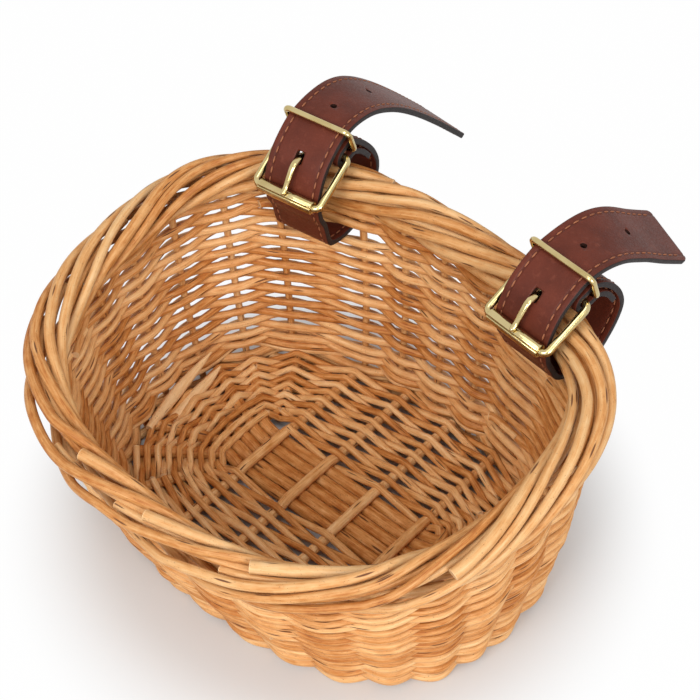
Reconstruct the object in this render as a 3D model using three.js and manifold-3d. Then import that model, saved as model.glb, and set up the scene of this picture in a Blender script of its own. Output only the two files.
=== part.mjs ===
// Wicker bicycle basket with two buckled leather straps.
// Units are millimetres and +Z is up. The origin is the middle of the base, on the plane it stands on.
// +X runs along the back of the basket and +Y points out of the back, where the straps take a handlebar.

import * as THREE from 'three';
import { mergeVertices } from 'three/addons/utils/BufferGeometryUtils.js';
import Module from 'manifold-3d';

// Clearances
const seat = 0.35;                // between rods, leather and metal that touch
const pivotGap = 0.25;            // between a wire and what turns on it

// Outline of the basket, on the centre lines of its stakes
const footHalfLength = 87;
const footHalfDepth = 65.5;
const footCorner = 2.45;          // 2 is an ellipse, more is squarer
const rimHalfLength = 98;
const rimBackDepth = 65;
const rimFrontDepth = 95;
const rimBackCorner = 2.4;
const rimFrontCorner = 2.5;
const rimHeight = 96;             // middle of the border above the floor, half way along the sides
const rimRise = 0.13;             // the rim climbs by this much per millimetre towards the back
const wallBulge = 3;              // the wall swells by this much
const bulgeAt = 0.5;              // at this share of its height

// Willow rods
const stakeDiameter = 4.6;
const weaverFill = 0.73;          // thickness of a wall weaver as a share of the height of its row
const upsettDiameter = 4.2;
const stickDiameter = 4.4;
const baseWeaverDiameter = 2.9;
const roundRod = 5;               // sides of a round rod
const sawnRod = 6;                // sides of a rod that lies on a flat
const splitRod = 4;               // sides of a thin weaver
const wireSides = 6;              // sides of a brass wire
const cornerSteps = 3;            // steps round a corner of a bent wire

// Stakes: how they share the rim, and where the strap gaps are
const strapAlongRim = 57.5;       // from the middle of the back to the middle of a strap
const strapGap = 36;              // stake spacing where a strap goes through the wall
const stakesBetweenStraps = 2;    // intervals from the middle of the back to a strap gap
const stakesRoundFront = 10;      // intervals from a strap gap to the middle of the front
const stakeFoot = 1.2;            // lower end of a stake above the floor

// Border: each stake bends over and winds round the rim with its neighbours
const borderRods = 7;
const borderGap = 0.75;           // between rods that lie side by side in the border
const borderEndGap = 0.2;         // a rod's end stops this share of a spacing short of its last stake
const borderSteps = 1.1;          // points per stake spacing along a border rod
const bendHeight = 4.4;           // height of the bend under the border
const bendLean = 0.06;            // share of a spacing that a stake leans over in its bend
const bendReach = 0.3;            // share of a spacing after which it lies in the border

// Upsett: level rounds of stout rods at the foot of the wall
const upsettRounds = 3;
const upsettJointStep = 7;        // stakes from one round's joint to the next one's

// Wall weave: two rods chase each other round and up, and their tips fill the ends of the spiral
const wallTurns = 13;
const rodsPerWeaver = 3;          // lengths that make up each of the two weavers
const tipStart = 0.3;             // a tip begins this share of a turn into its wedge
const tipTaper = 1.2;             // 1 fills the wedge, more leaves air between the tips
const kinkEase = 1.12;            // extra stand-off where a straight stretch leaves a stake at a slant
const slotReach = 16;             // how far down the weave gives way under a strap

// Base: long sticks, cross sticks over them, short corner sticks, and two weavers
const longSticks = 5;
const crossSticks = 4;
const crossPitch = 24;
const longFan = THREE.MathUtils.degToRad(14.5);   // between the fanned ends of long sticks
const cornerTurn = THREE.MathUtils.degToRad(47);  // where the corner sticks meet the edge
const panelEdge = 40;             // half length over which the long sticks lie on the floor
const fanStart = 47;              // where they have risen into the weave
const weaveStart = 17;            // half depth at which the weave round the cross sticks begins
const cornerStart = new THREE.Vector2(44, 17.5);
const cornerFirst = 0.46;         // share of the weave inside the start of a corner stick
const baseRounds = 10.5;
const baseEase = 1.15;            // extra stand-off of a weaver from the sticks it slants away from
const groupedRounds = 0.45;       // share of the weave that passes the long sticks as one bundle

// Straps
const strapWidth = 25;
const strapThickness = 2.4;
const strapTurn = THREE.MathUtils.degToRad(7);    // each strap turns outwards from square to the back
const strapRow = { right: 21, left: 20 };         // rows of the weave below the place where it goes through
const holePitch = 25;
const holeDiameter = 2.6;
const tailHoles = 2;              // punched holes beyond the one in use
const tailPoint = 1.6;            // the end's corners are cut back by this much
const edgePlay = 0.6;             // room beside the leather in its buckle and keeper
const tailRoll = { right: THREE.MathUtils.degToRad(18), left: 0 };     // twist of the loose end
const rollReach = 34;             // over which the twist grows

// Course of a strap in its own upright plane, outwards and up from the middle of the border
const flapCourse = [[16.2, 6.2], [12.2, 11.7], [7.2, 14.9], [3.4, 13.9]];
const foldStart = -75;            // degrees round the heel bar
const foldEnd = 100;
const loopCourse = [
  [3.2, 20.9], [8.8, 18.8], [14.6, 13.8], [19.2, 7.4], [21.4, 0.6], [19.8, -6.4], [16, -13],
];
const wallCourse = [[12, 1.6], [7.4, 0], [-4, -0.2], [-10.6, 0.4]];   // up from the slot in the weave
const innerCourse = [[-13.6, -10.6], [-16.4, -3]];
const rollerLeave = -12;          // degrees round the roller
const buckleCourse = [[-16.2, 10.4], [-12.8, 16.8], [-7, 22.2]];
const tailCourse = {
  right: [[10.2, 26.8], [21.8, 24.7], [33.4, 18.9], [46.4, 9.8], [59.6, 1.2]],
  left: [[10.2, 26.8], [22.5, 25], [35.5, 18.4], [51, 6], [70, -12.2], [93.5, -36]],
};

// Buckle: a wire frame with a roller on its front bar and a prong on its heel bar
const buckleWire = 3;
const buckleLength = 23;          // front bar to heel bar
const buckleTilt = THREE.MathUtils.degToRad(27.5);
const buckleCorner = 2.2;
const rollerAt = new THREE.Vector2(-21.5, 6);     // from the middle of the border, outwards and up
const rollerDiameter = 5.2;
const rollerEndPlay = 0.3;
const prongWidth = 2.9;
const prongThickness = 2;
const prongSwing = THREE.MathUtils.degToRad(7);   // swing that the hole in use leaves room for
const eyeWall = 1.3;

// Keeper: a wire loop whose lower bar sits in the fold of the strap
const keeperWire = 2.4;
const keeperAt = new THREE.Vector2(3.2, 17.9);    // lower bar, from the middle of the border
const keeperHeight = 11.4;
const keeperLean = 111.6;         // degrees from outwards
const keeperCorner = 2;

const wasm = await Module();
wasm.setup();

// Colours and finishes
const finishes = {
  stake: { color: 0xd8a468, roughness: 0.6, metalness: 0 },
  weaver: { color: 0xcf985c, roughness: 0.62, metalness: 0 },
  base: { color: 0xb9773f, roughness: 0.65, metalness: 0 },
  leather: { color: 0x6b3328, roughness: 0.55, metalness: 0 },
  brass: { color: 0xd6bd78, roughness: 0.25, metalness: 1 },
};

const basket = new THREE.Group();

function addPiece(parent, name, geometry, finish) {
  const mesh = new THREE.Mesh(geometry, new THREE.MeshStandardMaterial(finishes[finish]));
  mesh.name = name;
  parent.add(mesh);
}

// Solids for joining and cutting
function toSolid(geometry) {
  const bare = geometry.clone();
  bare.deleteAttribute('normal');
  bare.deleteAttribute('uv');
  const merged = mergeVertices(bare, 1e-4);
  const vertProperties = new Float32Array(merged.attributes.position.array);
  const triVerts = new Uint32Array(merged.index.array);
  return new wasm.Manifold(new wasm.Mesh({ numProp: 3, vertProperties, triVerts }));
}

function toGeometry(solid) {
  const mesh = solid.getMesh();
  const geometry = new THREE.BufferGeometry();
  geometry.setAttribute('position', new THREE.BufferAttribute(new Float32Array(mesh.vertProperties), 3));
  geometry.setIndex(new THREE.BufferAttribute(new Uint32Array(mesh.triVerts), 1));
  geometry.computeVertexNormals();
  return geometry;
}

// A rod along points, with one diameter for each point. Its rings keep their turn along the way,
// or lie on a flat where no first side is given.
function rodGeometry(points, diameters, sides, side, closed = false) {
  const count = points.length;
  const positions = [];
  const index = [];
  const normal = new THREE.Vector3();
  if (side) normal.copy(side);
  for (let i = 0; i < count; i++) {
    const before = closed ? points[(i + count - 1) % count] : points[Math.max(i - 1, 0)];
    const after = closed ? points[(i + 1) % count] : points[Math.min(i + 1, count - 1)];
    const inward = points[i].clone().sub(before).normalize();
    const outward = after.clone().sub(points[i]).normalize();
    const tangent = inward.add(outward).normalize();
    if (!side) normal.set(tangent.y, -tangent.x, 0);
    normal.addScaledVector(tangent, -normal.dot(tangent)).normalize();
    const binormal = tangent.clone().cross(normal);
    for (let k = 0; k < sides; k++) {
      const turn = (2 * Math.PI * (k + (sides === splitRod ? 0.5 : 0))) / sides;
      const ring = points[i].clone();
      ring.addScaledVector(normal, (Math.cos(turn) * diameters[i]) / 2);
      ring.addScaledVector(binormal, (Math.sin(turn) * diameters[i]) / 2);
      positions.push(ring.x, ring.y, ring.z);
    }
  }
  const spans = closed ? count : count - 1;
  for (let i = 0; i < spans; i++) {
    for (let k = 0; k < sides; k++) {
      const a = i * sides + k;
      const b = i * sides + ((k + 1) % sides);
      const c = ((i + 1) % count) * sides + k;
      const d = ((i + 1) % count) * sides + ((k + 1) % sides);
      index.push(a, b, c, b, d, c);
    }
  }
  if (!closed) {
    for (let k = 1; k < sides - 1; k++) {
      const last = (count - 1) * sides;
      index.push(0, k + 1, k);
      index.push(last, last + k, last + k + 1);
    }
  }
  const geometry = new THREE.BufferGeometry();
  geometry.setAttribute('position', new THREE.Float32BufferAttribute(positions, 3));
  geometry.setIndex(index);
  geometry.computeVertexNormals();
  return geometry;
}

function evenDiameters(points, diameter) {
  return points.map(() => diameter);
}

// Outlines in plan
function ovalPoint(halfLength, backDepth, frontDepth, backCorner, frontCorner, angle) {
  const c = Math.cos(angle);
  const s = Math.sin(angle);
  const power = 2 / (s > 0 ? backCorner : frontCorner);
  const depth = s > 0 ? backDepth : frontDepth;
  const x = halfLength * Math.sign(c) * Math.abs(c) ** power;
  const y = depth * Math.sign(s) * Math.abs(s) ** power;
  return new THREE.Vector2(x, y);
}

function rimPlan(angle) {
  return ovalPoint(rimHalfLength, rimBackDepth, rimFrontDepth, rimBackCorner, rimFrontCorner, angle);
}

function footPlan(angle) {
  return ovalPoint(footHalfLength, footHalfDepth, footHalfDepth, footCorner, footCorner, angle);
}

// Distance along the rim, clockwise from the middle of the back
const rimSamples = 1440;
const rimArc = [0];
const sampleAngle = (i) => Math.PI / 2 - (2 * Math.PI * i) / rimSamples;
for (let i = 1; i <= rimSamples; i++) {
  rimArc.push(rimArc[i - 1] + rimPlan(sampleAngle(i)).distanceTo(rimPlan(sampleAngle(i - 1))));
}
const rimLength = rimArc[rimSamples];

function angleAtArc(arc) {
  const wrapped = ((arc % rimLength) + rimLength) % rimLength;
  let low = 0;
  let high = rimSamples;
  while (high - low > 1) {
    const middle = (low + high) >> 1;
    if (rimArc[middle] > wrapped) high = middle;
    else low = middle;
  }
  const share = (wrapped - rimArc[low]) / (rimArc[high] - rimArc[low]);
  return sampleAngle(low + share);
}

// Stake places: half of the rim, then its mirror image
const halfArcs = [];
for (let i = 0; i <= stakesBetweenStraps; i++) {
  halfArcs.push(((strapAlongRim - strapGap / 2) * i) / stakesBetweenStraps);
}
const frontStart = strapAlongRim + strapGap / 2;
for (let i = 0; i <= stakesRoundFront; i++) {
  halfArcs.push(frontStart + ((rimLength / 2 - frontStart) * i) / stakesRoundFront);
}
const mirrored = halfArcs.slice(1, -1).reverse().map((arc) => rimLength - arc);
const stakeArcs = [...halfArcs, ...mirrored];
const stakeCount = stakeArcs.length;

// Places round the wall are counted in stakes, so 2.5 is half way from stake 2 to stake 3
function angleAt(place) {
  const turns = Math.floor(place / stakeCount);
  const within = place - turns * stakeCount;
  const i = Math.min(Math.floor(within), stakeCount - 1);
  const next = i + 1 < stakeCount ? stakeArcs[i + 1] : rimLength;
  return angleAtArc(stakeArcs[i] + (next - stakeArcs[i]) * (within - i));
}

function coreAt(place) {
  const plan = rimPlan(angleAt(place));
  return new THREE.Vector3(plan.x, plan.y, rimHeight + rimRise * plan.y);
}

function outwardAt(place) {
  const step = 0.05;
  const along = coreAt(place + step).sub(coreAt(place - step)).setZ(0).normalize();
  return new THREE.Vector3(-along.y, along.x, 0);
}

function wallPoint(place, height) {
  const angle = angleAt(place);
  const foot = footPlan(angle);
  const core = coreAt(place);
  const share = height / core.z;
  const swell = wallBulge * Math.min(share / bulgeAt, (1 - share) / (1 - bulgeAt));
  const x = foot.x + (core.x - foot.x) * share;
  const y = foot.y + (core.y - foot.y) * share;
  return new THREE.Vector3(x, y, height).addScaledVector(outwardAt(place), swell);
}

function wallNormal(place, height) {
  const step = 0.05;
  const along = wallPoint(place + step, height).sub(wallPoint(place - step, height));
  const up = wallPoint(place, height + 1).sub(wallPoint(place, height));
  return up.cross(along).normalize();
}

// Stakes with their border rods
const borderTurn = (2 * Math.PI) / (borderRods + 1);
const borderRadius = (stakeDiameter + borderGap) / (2 * Math.sin(borderTurn / 2));
const borderReach = borderRadius + stakeDiameter / 2;
const under = 1.5 * Math.PI;

function borderPoint(place, turn) {
  const point = coreAt(place);
  point.addScaledVector(outwardAt(place), borderRadius * Math.cos(turn));
  point.z += borderRadius * Math.sin(turn);
  return point;
}

function stakePoints(stake) {
  const core = coreAt(stake);
  const bendStart = core.z - borderRadius - bendHeight;
  const points = [stakeFoot, core.z * bulgeAt, bendStart].map((height) => wallPoint(stake, height));
  points.push(wallPoint(stake + bendLean, core.z - borderRadius - bendHeight / 3));
  const first = under - borderTurn / 4;
  points.push(borderPoint(stake + bendReach, first));
  const last = borderRods - borderEndGap;
  const steps = Math.round((last - bendReach) * borderSteps);
  for (let i = 1; i <= steps; i++) {
    const along = bendReach + ((last - bendReach) * i) / steps;
    points.push(borderPoint(stake + along, under - borderTurn / 2 - borderTurn * (along - bendReach)));
  }
  return points;
}

for (let stake = 0; stake < stakeCount; stake++) {
  const points = stakePoints(stake);
  const geometry = rodGeometry(points, evenDiameters(points, stakeDiameter), roundRod, outwardAt(stake));
  addPiece(basket, `stake_${String(stake + 1).padStart(2, '0')}`, geometry, 'stake');
}

// A point of a level rod that passes a stake, outside it for side 1 and inside it for side -1
function passPoint(stake, height, side, thickness) {
  const normal = wallNormal(stake, height);
  const lean = Math.hypot(normal.x, normal.y);
  const standOff = (((stakeDiameter + thickness) / 2 + seat) * kinkEase) / lean;
  return wallPoint(stake, height).addScaledVector(normal.setZ(0).normalize(), side * standOff);
}

// A point near the middle of a span, a short way before or after a butt joint
function buttPoint(from, to, before) {
  const half = seat / from.distanceTo(to) / 2;
  return from.clone().lerp(to, before ? 0.5 - half : 0.5 + half);
}

// Upsett
const upsettFlat = (upsettDiameter / 2) * Math.cos(Math.PI / sawnRod);
for (let round = 0; round < upsettRounds; round++) {
  const height = upsettFlat + round * (upsettDiameter + seat);
  const start = round * upsettJointStep;
  const passes = [];
  for (let k = 0; k <= stakeCount + 1; k++) {
    const side = (start + k + round) % 2 === 0 ? 1 : -1;
    passes.push(passPoint(start + k, height, side, upsettDiameter));
  }
  const points = [buttPoint(passes[0], passes[1], false)];
  points.push(...passes.slice(1, -1));
  points.push(buttPoint(passes[stakeCount], passes[stakeCount + 1], true));
  const geometry = rodGeometry(points, evenDiameters(points, upsettDiameter), sawnRod, null);
  addPiece(basket, `upsett_rod_${round + 1}`, geometry, 'weaver');
}

// Wall weavers
const upsettTop = upsettFlat * 2 + (upsettRounds - 1) * (upsettDiameter + seat);
const weaveBottom = upsettTop + seat;
const weaveRows = 2 * (wallTurns - 1);
const strapPlace = stakesBetweenStraps + 0.5;
const strapPlaces = { right: strapPlace, left: stakeCount - strapPlace };

function weaveTopAt(place) {
  return coreAt(place).z - borderReach - seat;
}

function rowHeight(place, row) {
  return weaveBottom + ((weaveTopAt(place) - weaveBottom) * row) / weaveRows;
}

// Rows are as much thinner at the front as the wall is lower there
function weaverThickness(place) {
  return (weaverFill * (weaveTopAt(place) - weaveBottom)) / weaveRows;
}

// A strap goes through between two rows; rows climb by two for each turn of the spiral
function slotAt(strap) {
  const climb = (2 * strapPlaces[strap]) / stakeCount;
  return rowHeight(strapPlaces[strap], strapRow[strap] + climb - Math.round(climb));
}

// Rows give way up and down where a strap goes through between its two stakes
function partRows(place, row) {
  const height = rowHeight(place, row);
  const within = place % stakeCount;
  const strap = Object.keys(strapPlaces).find((name) => Math.abs(within - strapPlaces[name]) < 1);
  if (strap === undefined) return height;
  const middle = strapPlaces[strap];
  const slot = slotAt(strap);
  const slotHalf = (strapThickness + weaverThickness(middle)) / 2 + 3 * seat;
  const push = slotHalf - (rowHeight(middle, 1) - rowHeight(middle, 0)) / 2;
  if (height < slot) return height - push * Math.exp((height - slot) / slotReach);
  const top = weaveTopAt(place);
  return height + (push * (top - height)) / (top - slot);
}

// Height in rows and thickness of a weaver after some turns; lane is 0.5 for the first, 1.5 for the second
function spiralAt(turns, lane) {
  if (turns < 1) return { row: lane * turns, share: turns };
  const last = turns - (wallTurns - 1);
  if (last > 0) return { row: 2 * (wallTurns - 2 + last) + lane * (1 - last), share: 1 - last };
  return { row: 2 * (turns - 1) + lane, share: 1 };
}

function weaverPasses(lane) {
  const passes = [];
  const first = Math.ceil(tipStart * stakeCount);
  const last = Math.floor((wallTurns - tipStart) * stakeCount);
  for (let place = first; place <= last; place++) {
    const { row, share } = spiralAt(place / stakeCount, lane);
    const thickness = weaverThickness(place) * share ** tipTaper;
    const height = partRows(place, row);
    const side = (place + (lane > 1 ? 1 : 0)) % 2 === 0 ? 1 : -1;
    const diameter = thickness / Math.cos(Math.PI / splitRod);
    passes.push({ point: passPoint(place, height, side, thickness), diameter });
  }
  return passes;
}

['a', 'b'].forEach((letter, strand) => {
  const passes = weaverPasses(strand + 0.5);
  for (let part = 0; part < rodsPerWeaver; part++) {
    const from = Math.floor((passes.length * part) / rodsPerWeaver);
    const to = Math.floor((passes.length * (part + 1)) / rodsPerWeaver);
    const points = passes.slice(from, to).map((pass) => pass.point);
    const diameters = passes.slice(from, to).map((pass) => pass.diameter);
    if (part > 0) {
      points.unshift(buttPoint(passes[from - 1].point, passes[from].point, false));
      diameters.unshift(diameters[0]);
    }
    if (part < rodsPerWeaver - 1) {
      points.push(buttPoint(passes[to - 1].point, passes[to].point, true));
      diameters.push(diameters[diameters.length - 1]);
    }
    const geometry = rodGeometry(points, diameters, splitRod, null);
    addPiece(basket, `wall_weaver_${letter}${part + 1}`, geometry, 'weaver');
  }
});

// Base sticks
const stickFlat = (stickDiameter / 2) * Math.cos(Math.PI / sawnRod);
const baseAmplitude = ((stickDiameter + baseWeaverDiameter) / 2 + seat) * baseEase;
const weavePlane = baseAmplitude + (baseWeaverDiameter / 2) * Math.cos(Math.PI / splitRod) + seat / 2;
const crossHeight = 3 * stickFlat + seat;
const longPitch = stickDiameter + 2 * seat;
const panelHalf = (longSticks / 2) * longPitch;
const upsettStandOff = ((stakeDiameter + upsettDiameter) / 2 + seat) * kinkEase + upsettDiameter / 2;
const edgeSwell = (wallBulge * weavePlane) / (rimHeight * bulgeAt);
const edgeHalfLength = footHalfLength + edgeSwell - upsettStandOff - seat;
const edgeHalfDepth = footHalfDepth + edgeSwell - upsettStandOff - seat;

function edgeAt(angle) {
  return ovalPoint(edgeHalfLength, edgeHalfDepth, edgeHalfDepth, footCorner, footCorner, angle);
}

function edgeDepthAt(x) {
  return edgeHalfDepth * (1 - Math.abs(x / edgeHalfLength) ** footCorner) ** (1 / footCorner);
}

function flatStick(points) {
  return rodGeometry(points, evenDiameters(points, stickDiameter), sawnRod, null);
}

const longYs = Array.from({ length: longSticks }, (_, i) => (i - (longSticks - 1) / 2) * longPitch);
const crossXs = Array.from({ length: crossSticks }, (_, i) => (i - (crossSticks - 1) / 2) * crossPitch);

longYs.forEach((y, i) => {
  const end = edgeAt((i - (longSticks - 1) / 2) * longFan);
  const half = [[end.x, end.y, weavePlane], [fanStart, y, weavePlane], [panelEdge, y, stickFlat]];
  const right = half.map(([x, across, z]) => new THREE.Vector3(x, across, z));
  const left = half.map(([x, across, z]) => new THREE.Vector3(-x, across, z)).reverse();
  const geometry = flatStick([...right, ...left]);
  addPiece(basket, `base_long_stick_${i + 1}`, geometry, 'base');
});

crossXs.forEach((x, i) => {
  const half = [[edgeDepthAt(x), weavePlane], [weaveStart, weavePlane], [panelHalf, crossHeight]];
  const back = half.map(([y, z]) => new THREE.Vector3(x, y, z));
  const front = half.map(([y, z]) => new THREE.Vector3(x, -y, z)).reverse();
  const geometry = flatStick([...back, ...front]);
  addPiece(basket, `base_cross_stick_${i + 1}`, geometry, 'base');
});

[[1, 1], [1, -1], [-1, -1], [-1, 1]].forEach(([sx, sy], i) => {
  const end = edgeAt(cornerTurn);
  const start = cornerStart.clone().lerp(end, cornerFirst);
  const points = [start, end].map((p) => new THREE.Vector3(sx * p.x, sy * p.y, weavePlane));
  addPiece(basket, `base_corner_stick_${i + 1}`, flatStick(points), 'base');
});

// Spokes that the base weavers pass, clockwise from the left end of the back
const spokes = [];
function addSpoke(innerX, innerY, outerX, outerY, kind) {
  const inner = new THREE.Vector2(innerX, innerY);
  const outer = new THREE.Vector2(outerX, outerY);
  spokes.push({ inner, outer, kind });
}
const cornerEnd = edgeAt(cornerTurn);
crossXs.forEach((x) => addSpoke(x, weaveStart, x, edgeDepthAt(x), 'cross'));
addSpoke(cornerStart.x, cornerStart.y, cornerEnd.x, cornerEnd.y, 'corner');
[...longYs].reverse().forEach((y) => {
  const end = edgeAt((y / longPitch) * longFan);
  addSpoke(fanStart, y, end.x, end.y, 'long');
});
addSpoke(cornerStart.x, -cornerStart.y, cornerEnd.x, -cornerEnd.y, 'corner');
[...crossXs].reverse().forEach((x) => addSpoke(x, -weaveStart, x, -edgeDepthAt(x), 'cross'));
addSpoke(-cornerStart.x, -cornerStart.y, -cornerEnd.x, -cornerEnd.y, 'corner');
longYs.forEach((y) => {
  const end = edgeAt((y / longPitch) * longFan);
  addSpoke(-fanStart, y, -end.x, end.y, 'long');
});
addSpoke(-cornerStart.x, cornerStart.y, -cornerEnd.x, cornerEnd.y, 'corner');

// In its first rounds a weaver passes the long sticks as one bundle, on the side of the middle one
function passSide(spoke, share, strand) {
  const { kind } = spokes[spoke];
  const middle = spokes.findIndex((s, i) => s.kind === 'long' && Math.abs(i - spoke) <= longSticks / 2
    && Math.abs(s.inner.y) < longPitch / 2);
  const counted = kind === 'long' && share < groupedRounds ? middle : spoke;
  return (counted + strand) % 2 === 0 ? 1 : -1;
}

['a', 'b'].forEach((letter, strand) => {
  const points = [];
  const passes = Math.floor(spokes.length * (baseRounds / 2 - 1));
  for (let k = 0; k <= passes; k++) {
    const spoke = k % spokes.length;
    const share = ((2 * k) / spokes.length + strand + 0.5) / baseRounds;
    const plan = spokes[spoke].inner.clone().lerp(spokes[spoke].outer, share);
    const free = spokes[spoke].kind === 'corner' && share < cornerFirst;
    const rise = passSide(spoke, share, strand) * baseAmplitude * (free ? 0.5 : 1);
    points.push(new THREE.Vector3(plan.x, plan.y, weavePlane + rise));
  }
  const diameters = evenDiameters(points, baseWeaverDiameter);
  addPiece(basket, `base_weaver_${letter}`, rodGeometry(points, diameters, splitRod, null), 'base');
});

// Straps are drawn in their own upright plane: first axis outwards, second up, third across the leather
const leather = strapThickness / 2;
const along = new THREE.Vector2(Math.cos(buckleTilt), Math.sin(buckleTilt));
const heelAt = rollerAt.clone().addScaledVector(along, buckleLength);
const foldRadius = buckleWire / 2 + seat + leather;
const rollerSide = rollerDiameter / 2 + seat + leather;

function polar(centre, radius, degrees) {
  const turn = THREE.MathUtils.degToRad(degrees);
  return new THREE.Vector2(centre.x + radius * Math.cos(turn), centre.y + radius * Math.sin(turn));
}

const underKeeper = polar(keeperAt, keeperHeight - keeperWire / 2 - seat - leather, keeperLean);

// Route of the leather: flap, fold round the heel bar, loop for the handlebar, wall, roller, keeper, tail
function strapRoute(tail, pass) {
  const toPoints = (course, lift = 0) => course.map(([x, y]) => new THREE.Vector2(x, y + lift));
  const [start, ...flap] = toPoints(flapCourse);
  const route = new THREE.Path();
  route.moveTo(start.x, start.y);
  route.splineThru([...flap, polar(heelAt, foldRadius, foldStart)]);
  route.absarc(heelAt.x, heelAt.y, foldRadius, THREE.MathUtils.degToRad(foldStart),
    THREE.MathUtils.degToRad(foldEnd), true);
  route.splineThru([
    ...toPoints(loopCourse),
    ...toPoints(wallCourse, pass),
    ...toPoints(innerCourse),
    polar(rollerAt, rollerSide, rollerLeave),
    ...toPoints(buckleCourse),
    underKeeper,
    ...toPoints(tail),
  ]);
  return route.getPoints(3);
}

// A flat strip lofted along a route, rolled about it by one angle for each point
function stripGeometry(points, half, width, rolls) {
  const section = [[half, -width / 2], [half, width / 2], [-half, width / 2], [-half, -width / 2]];
  const positions = [];
  const index = [];
  points.forEach((p, i) => {
    const before = points[Math.max(i - 1, 0)];
    const after = points[Math.min(i + 1, points.length - 1)];
    const normal = after.clone().sub(before).normalize().rotateAround(new THREE.Vector2(), Math.PI / 2);
    section.forEach(([lift, across]) => {
      const rolled = new THREE.Vector2(lift, across).rotateAround(new THREE.Vector2(), rolls[i]);
      positions.push(p.x + normal.x * rolled.x, p.y + normal.y * rolled.x, rolled.y);
    });
    if (i === 0) return;
    section.forEach((_, k) => {
      const a = 4 * (i - 1) + k;
      const b = 4 * (i - 1) + ((k + 1) % 4);
      index.push(a, b, b + 4, a, b + 4, a + 4);
    });
  });
  const end = 4 * (points.length - 1);
  index.push(0, 2, 1, 0, 3, 2, end, end + 1, end + 2, end, end + 2, end + 3);
  const geometry = new THREE.BufferGeometry();
  geometry.setAttribute('position', new THREE.Float32BufferAttribute(positions, 3));
  geometry.setIndex(index);
  return geometry;
}

// A place along a route and the direction there
function alongRoute(points, distance) {
  let left = distance;
  for (let i = 1; i < points.length; i++) {
    const step = points[i].distanceTo(points[i - 1]);
    if (left <= step) {
      const direction = points[i].clone().sub(points[i - 1]).normalize();
      return { at: points[i - 1].clone().addScaledVector(direction, left), direction };
    }
    left -= step;
  }
  const direction = points[points.length - 1].clone().sub(points[points.length - 2]).normalize();
  return { at: points[points.length - 1].clone(), direction };
}

function routeLength(points) {
  return points.slice(1).reduce((sum, p, i) => sum + p.distanceTo(points[i]), 0);
}

function distanceNearest(points, target) {
  let walked = 0;
  let best = { gap: Infinity, walked: 0 };
  points.forEach((p, i) => {
    if (i > 0) walked += p.distanceTo(points[i - 1]);
    const gap = p.distanceTo(target);
    if (gap < best.gap) best = { gap, walked };
  });
  return best.walked;
}

// Prong: from the heel bar through the hole in use, then down to the roller
const prongExit = new THREE.Vector2(-13.2, 17.9);
const prongBend = [new THREE.Vector2(-16.4, 17.4), new THREE.Vector2(-19.6, 13.4)];
const onRoller = rollerDiameter / 2 + 1.5 * seat + prongThickness / 2;
const prongTip = [polar(rollerAt, onRoller, 95), polar(rollerAt, onRoller, 135)];
const eyeBore = buckleWire / 2 + pivotGap;
const eyeRadius = eyeBore + eyeWall;

function cutBox(length, height, width, centre, direction) {
  const box = new THREE.BoxGeometry(length, height, width);
  box.rotateZ(direction.angle());
  return toSolid(box.translate(centre.x, centre.y, 0));
}

function strapGeometry(points, roll) {
  const start = distanceNearest(points, underKeeper);
  const rollAt = (distance) => roll * THREE.MathUtils.smoothstep(distance, start, start + rollReach);
  const rolls = points.map((_, i) => rollAt(routeLength(points.slice(0, i + 1))));
  let solid = toSolid(stripGeometry(points, leather, strapWidth, rolls));
  const used = distanceNearest(points, prongExit);
  for (let hole = 1; hole <= tailHoles; hole++) {
    const distance = used + hole * holePitch;
    const { at, direction } = alongRoute(points, distance);
    const punch = new THREE.CylinderGeometry(holeDiameter / 2, holeDiameter / 2, strapThickness * 2, 8);
    punch.rotateX(rollAt(distance)).rotateZ(direction.angle()).translate(at.x, at.y, 0);
    solid = solid.subtract(toSolid(punch));
  }
  const reach = heelAt.distanceTo(prongExit);
  const toHole = prongExit.clone().sub(heelAt).normalize();
  const up = toHole.clone().rotateAround(new THREE.Vector2(), -Math.PI / 2);
  const swing = reach * Math.sin(prongSwing);
  const slotHeight = prongThickness + 2 * seat + swing;
  const slotMiddle = prongExit.clone().addScaledVector(up, swing / 2);
  solid = solid.subtract(cutBox(4 * strapThickness, slotHeight, prongWidth + 2 * seat, slotMiddle, toHole));
  const foldOut = foldRadius + leather + seat;
  const foldIn = eyeRadius + 2 * seat;
  const foldMiddle = heelAt.clone().addScaledVector(toHole, (foldOut - foldIn) / 2);
  solid = solid.subtract(cutBox(foldOut + foldIn, 2 * foldIn, prongWidth + 2 * seat, foldMiddle, toHole));
  const end = routeLength(points);
  const { at, direction } = alongRoute(points, end);
  [1, -1].forEach((side) => {
    const corner = new THREE.BoxGeometry(tailPoint * 2, strapThickness * 3, tailPoint * 2);
    corner.rotateY(Math.PI / 4).translate(0, 0, (side * strapWidth) / 2);
    corner.rotateX(rollAt(end)).rotateZ(direction.angle()).translate(at.x, at.y, 0);
    solid = solid.subtract(toSolid(corner));
  });
  return toGeometry(solid);
}

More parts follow.
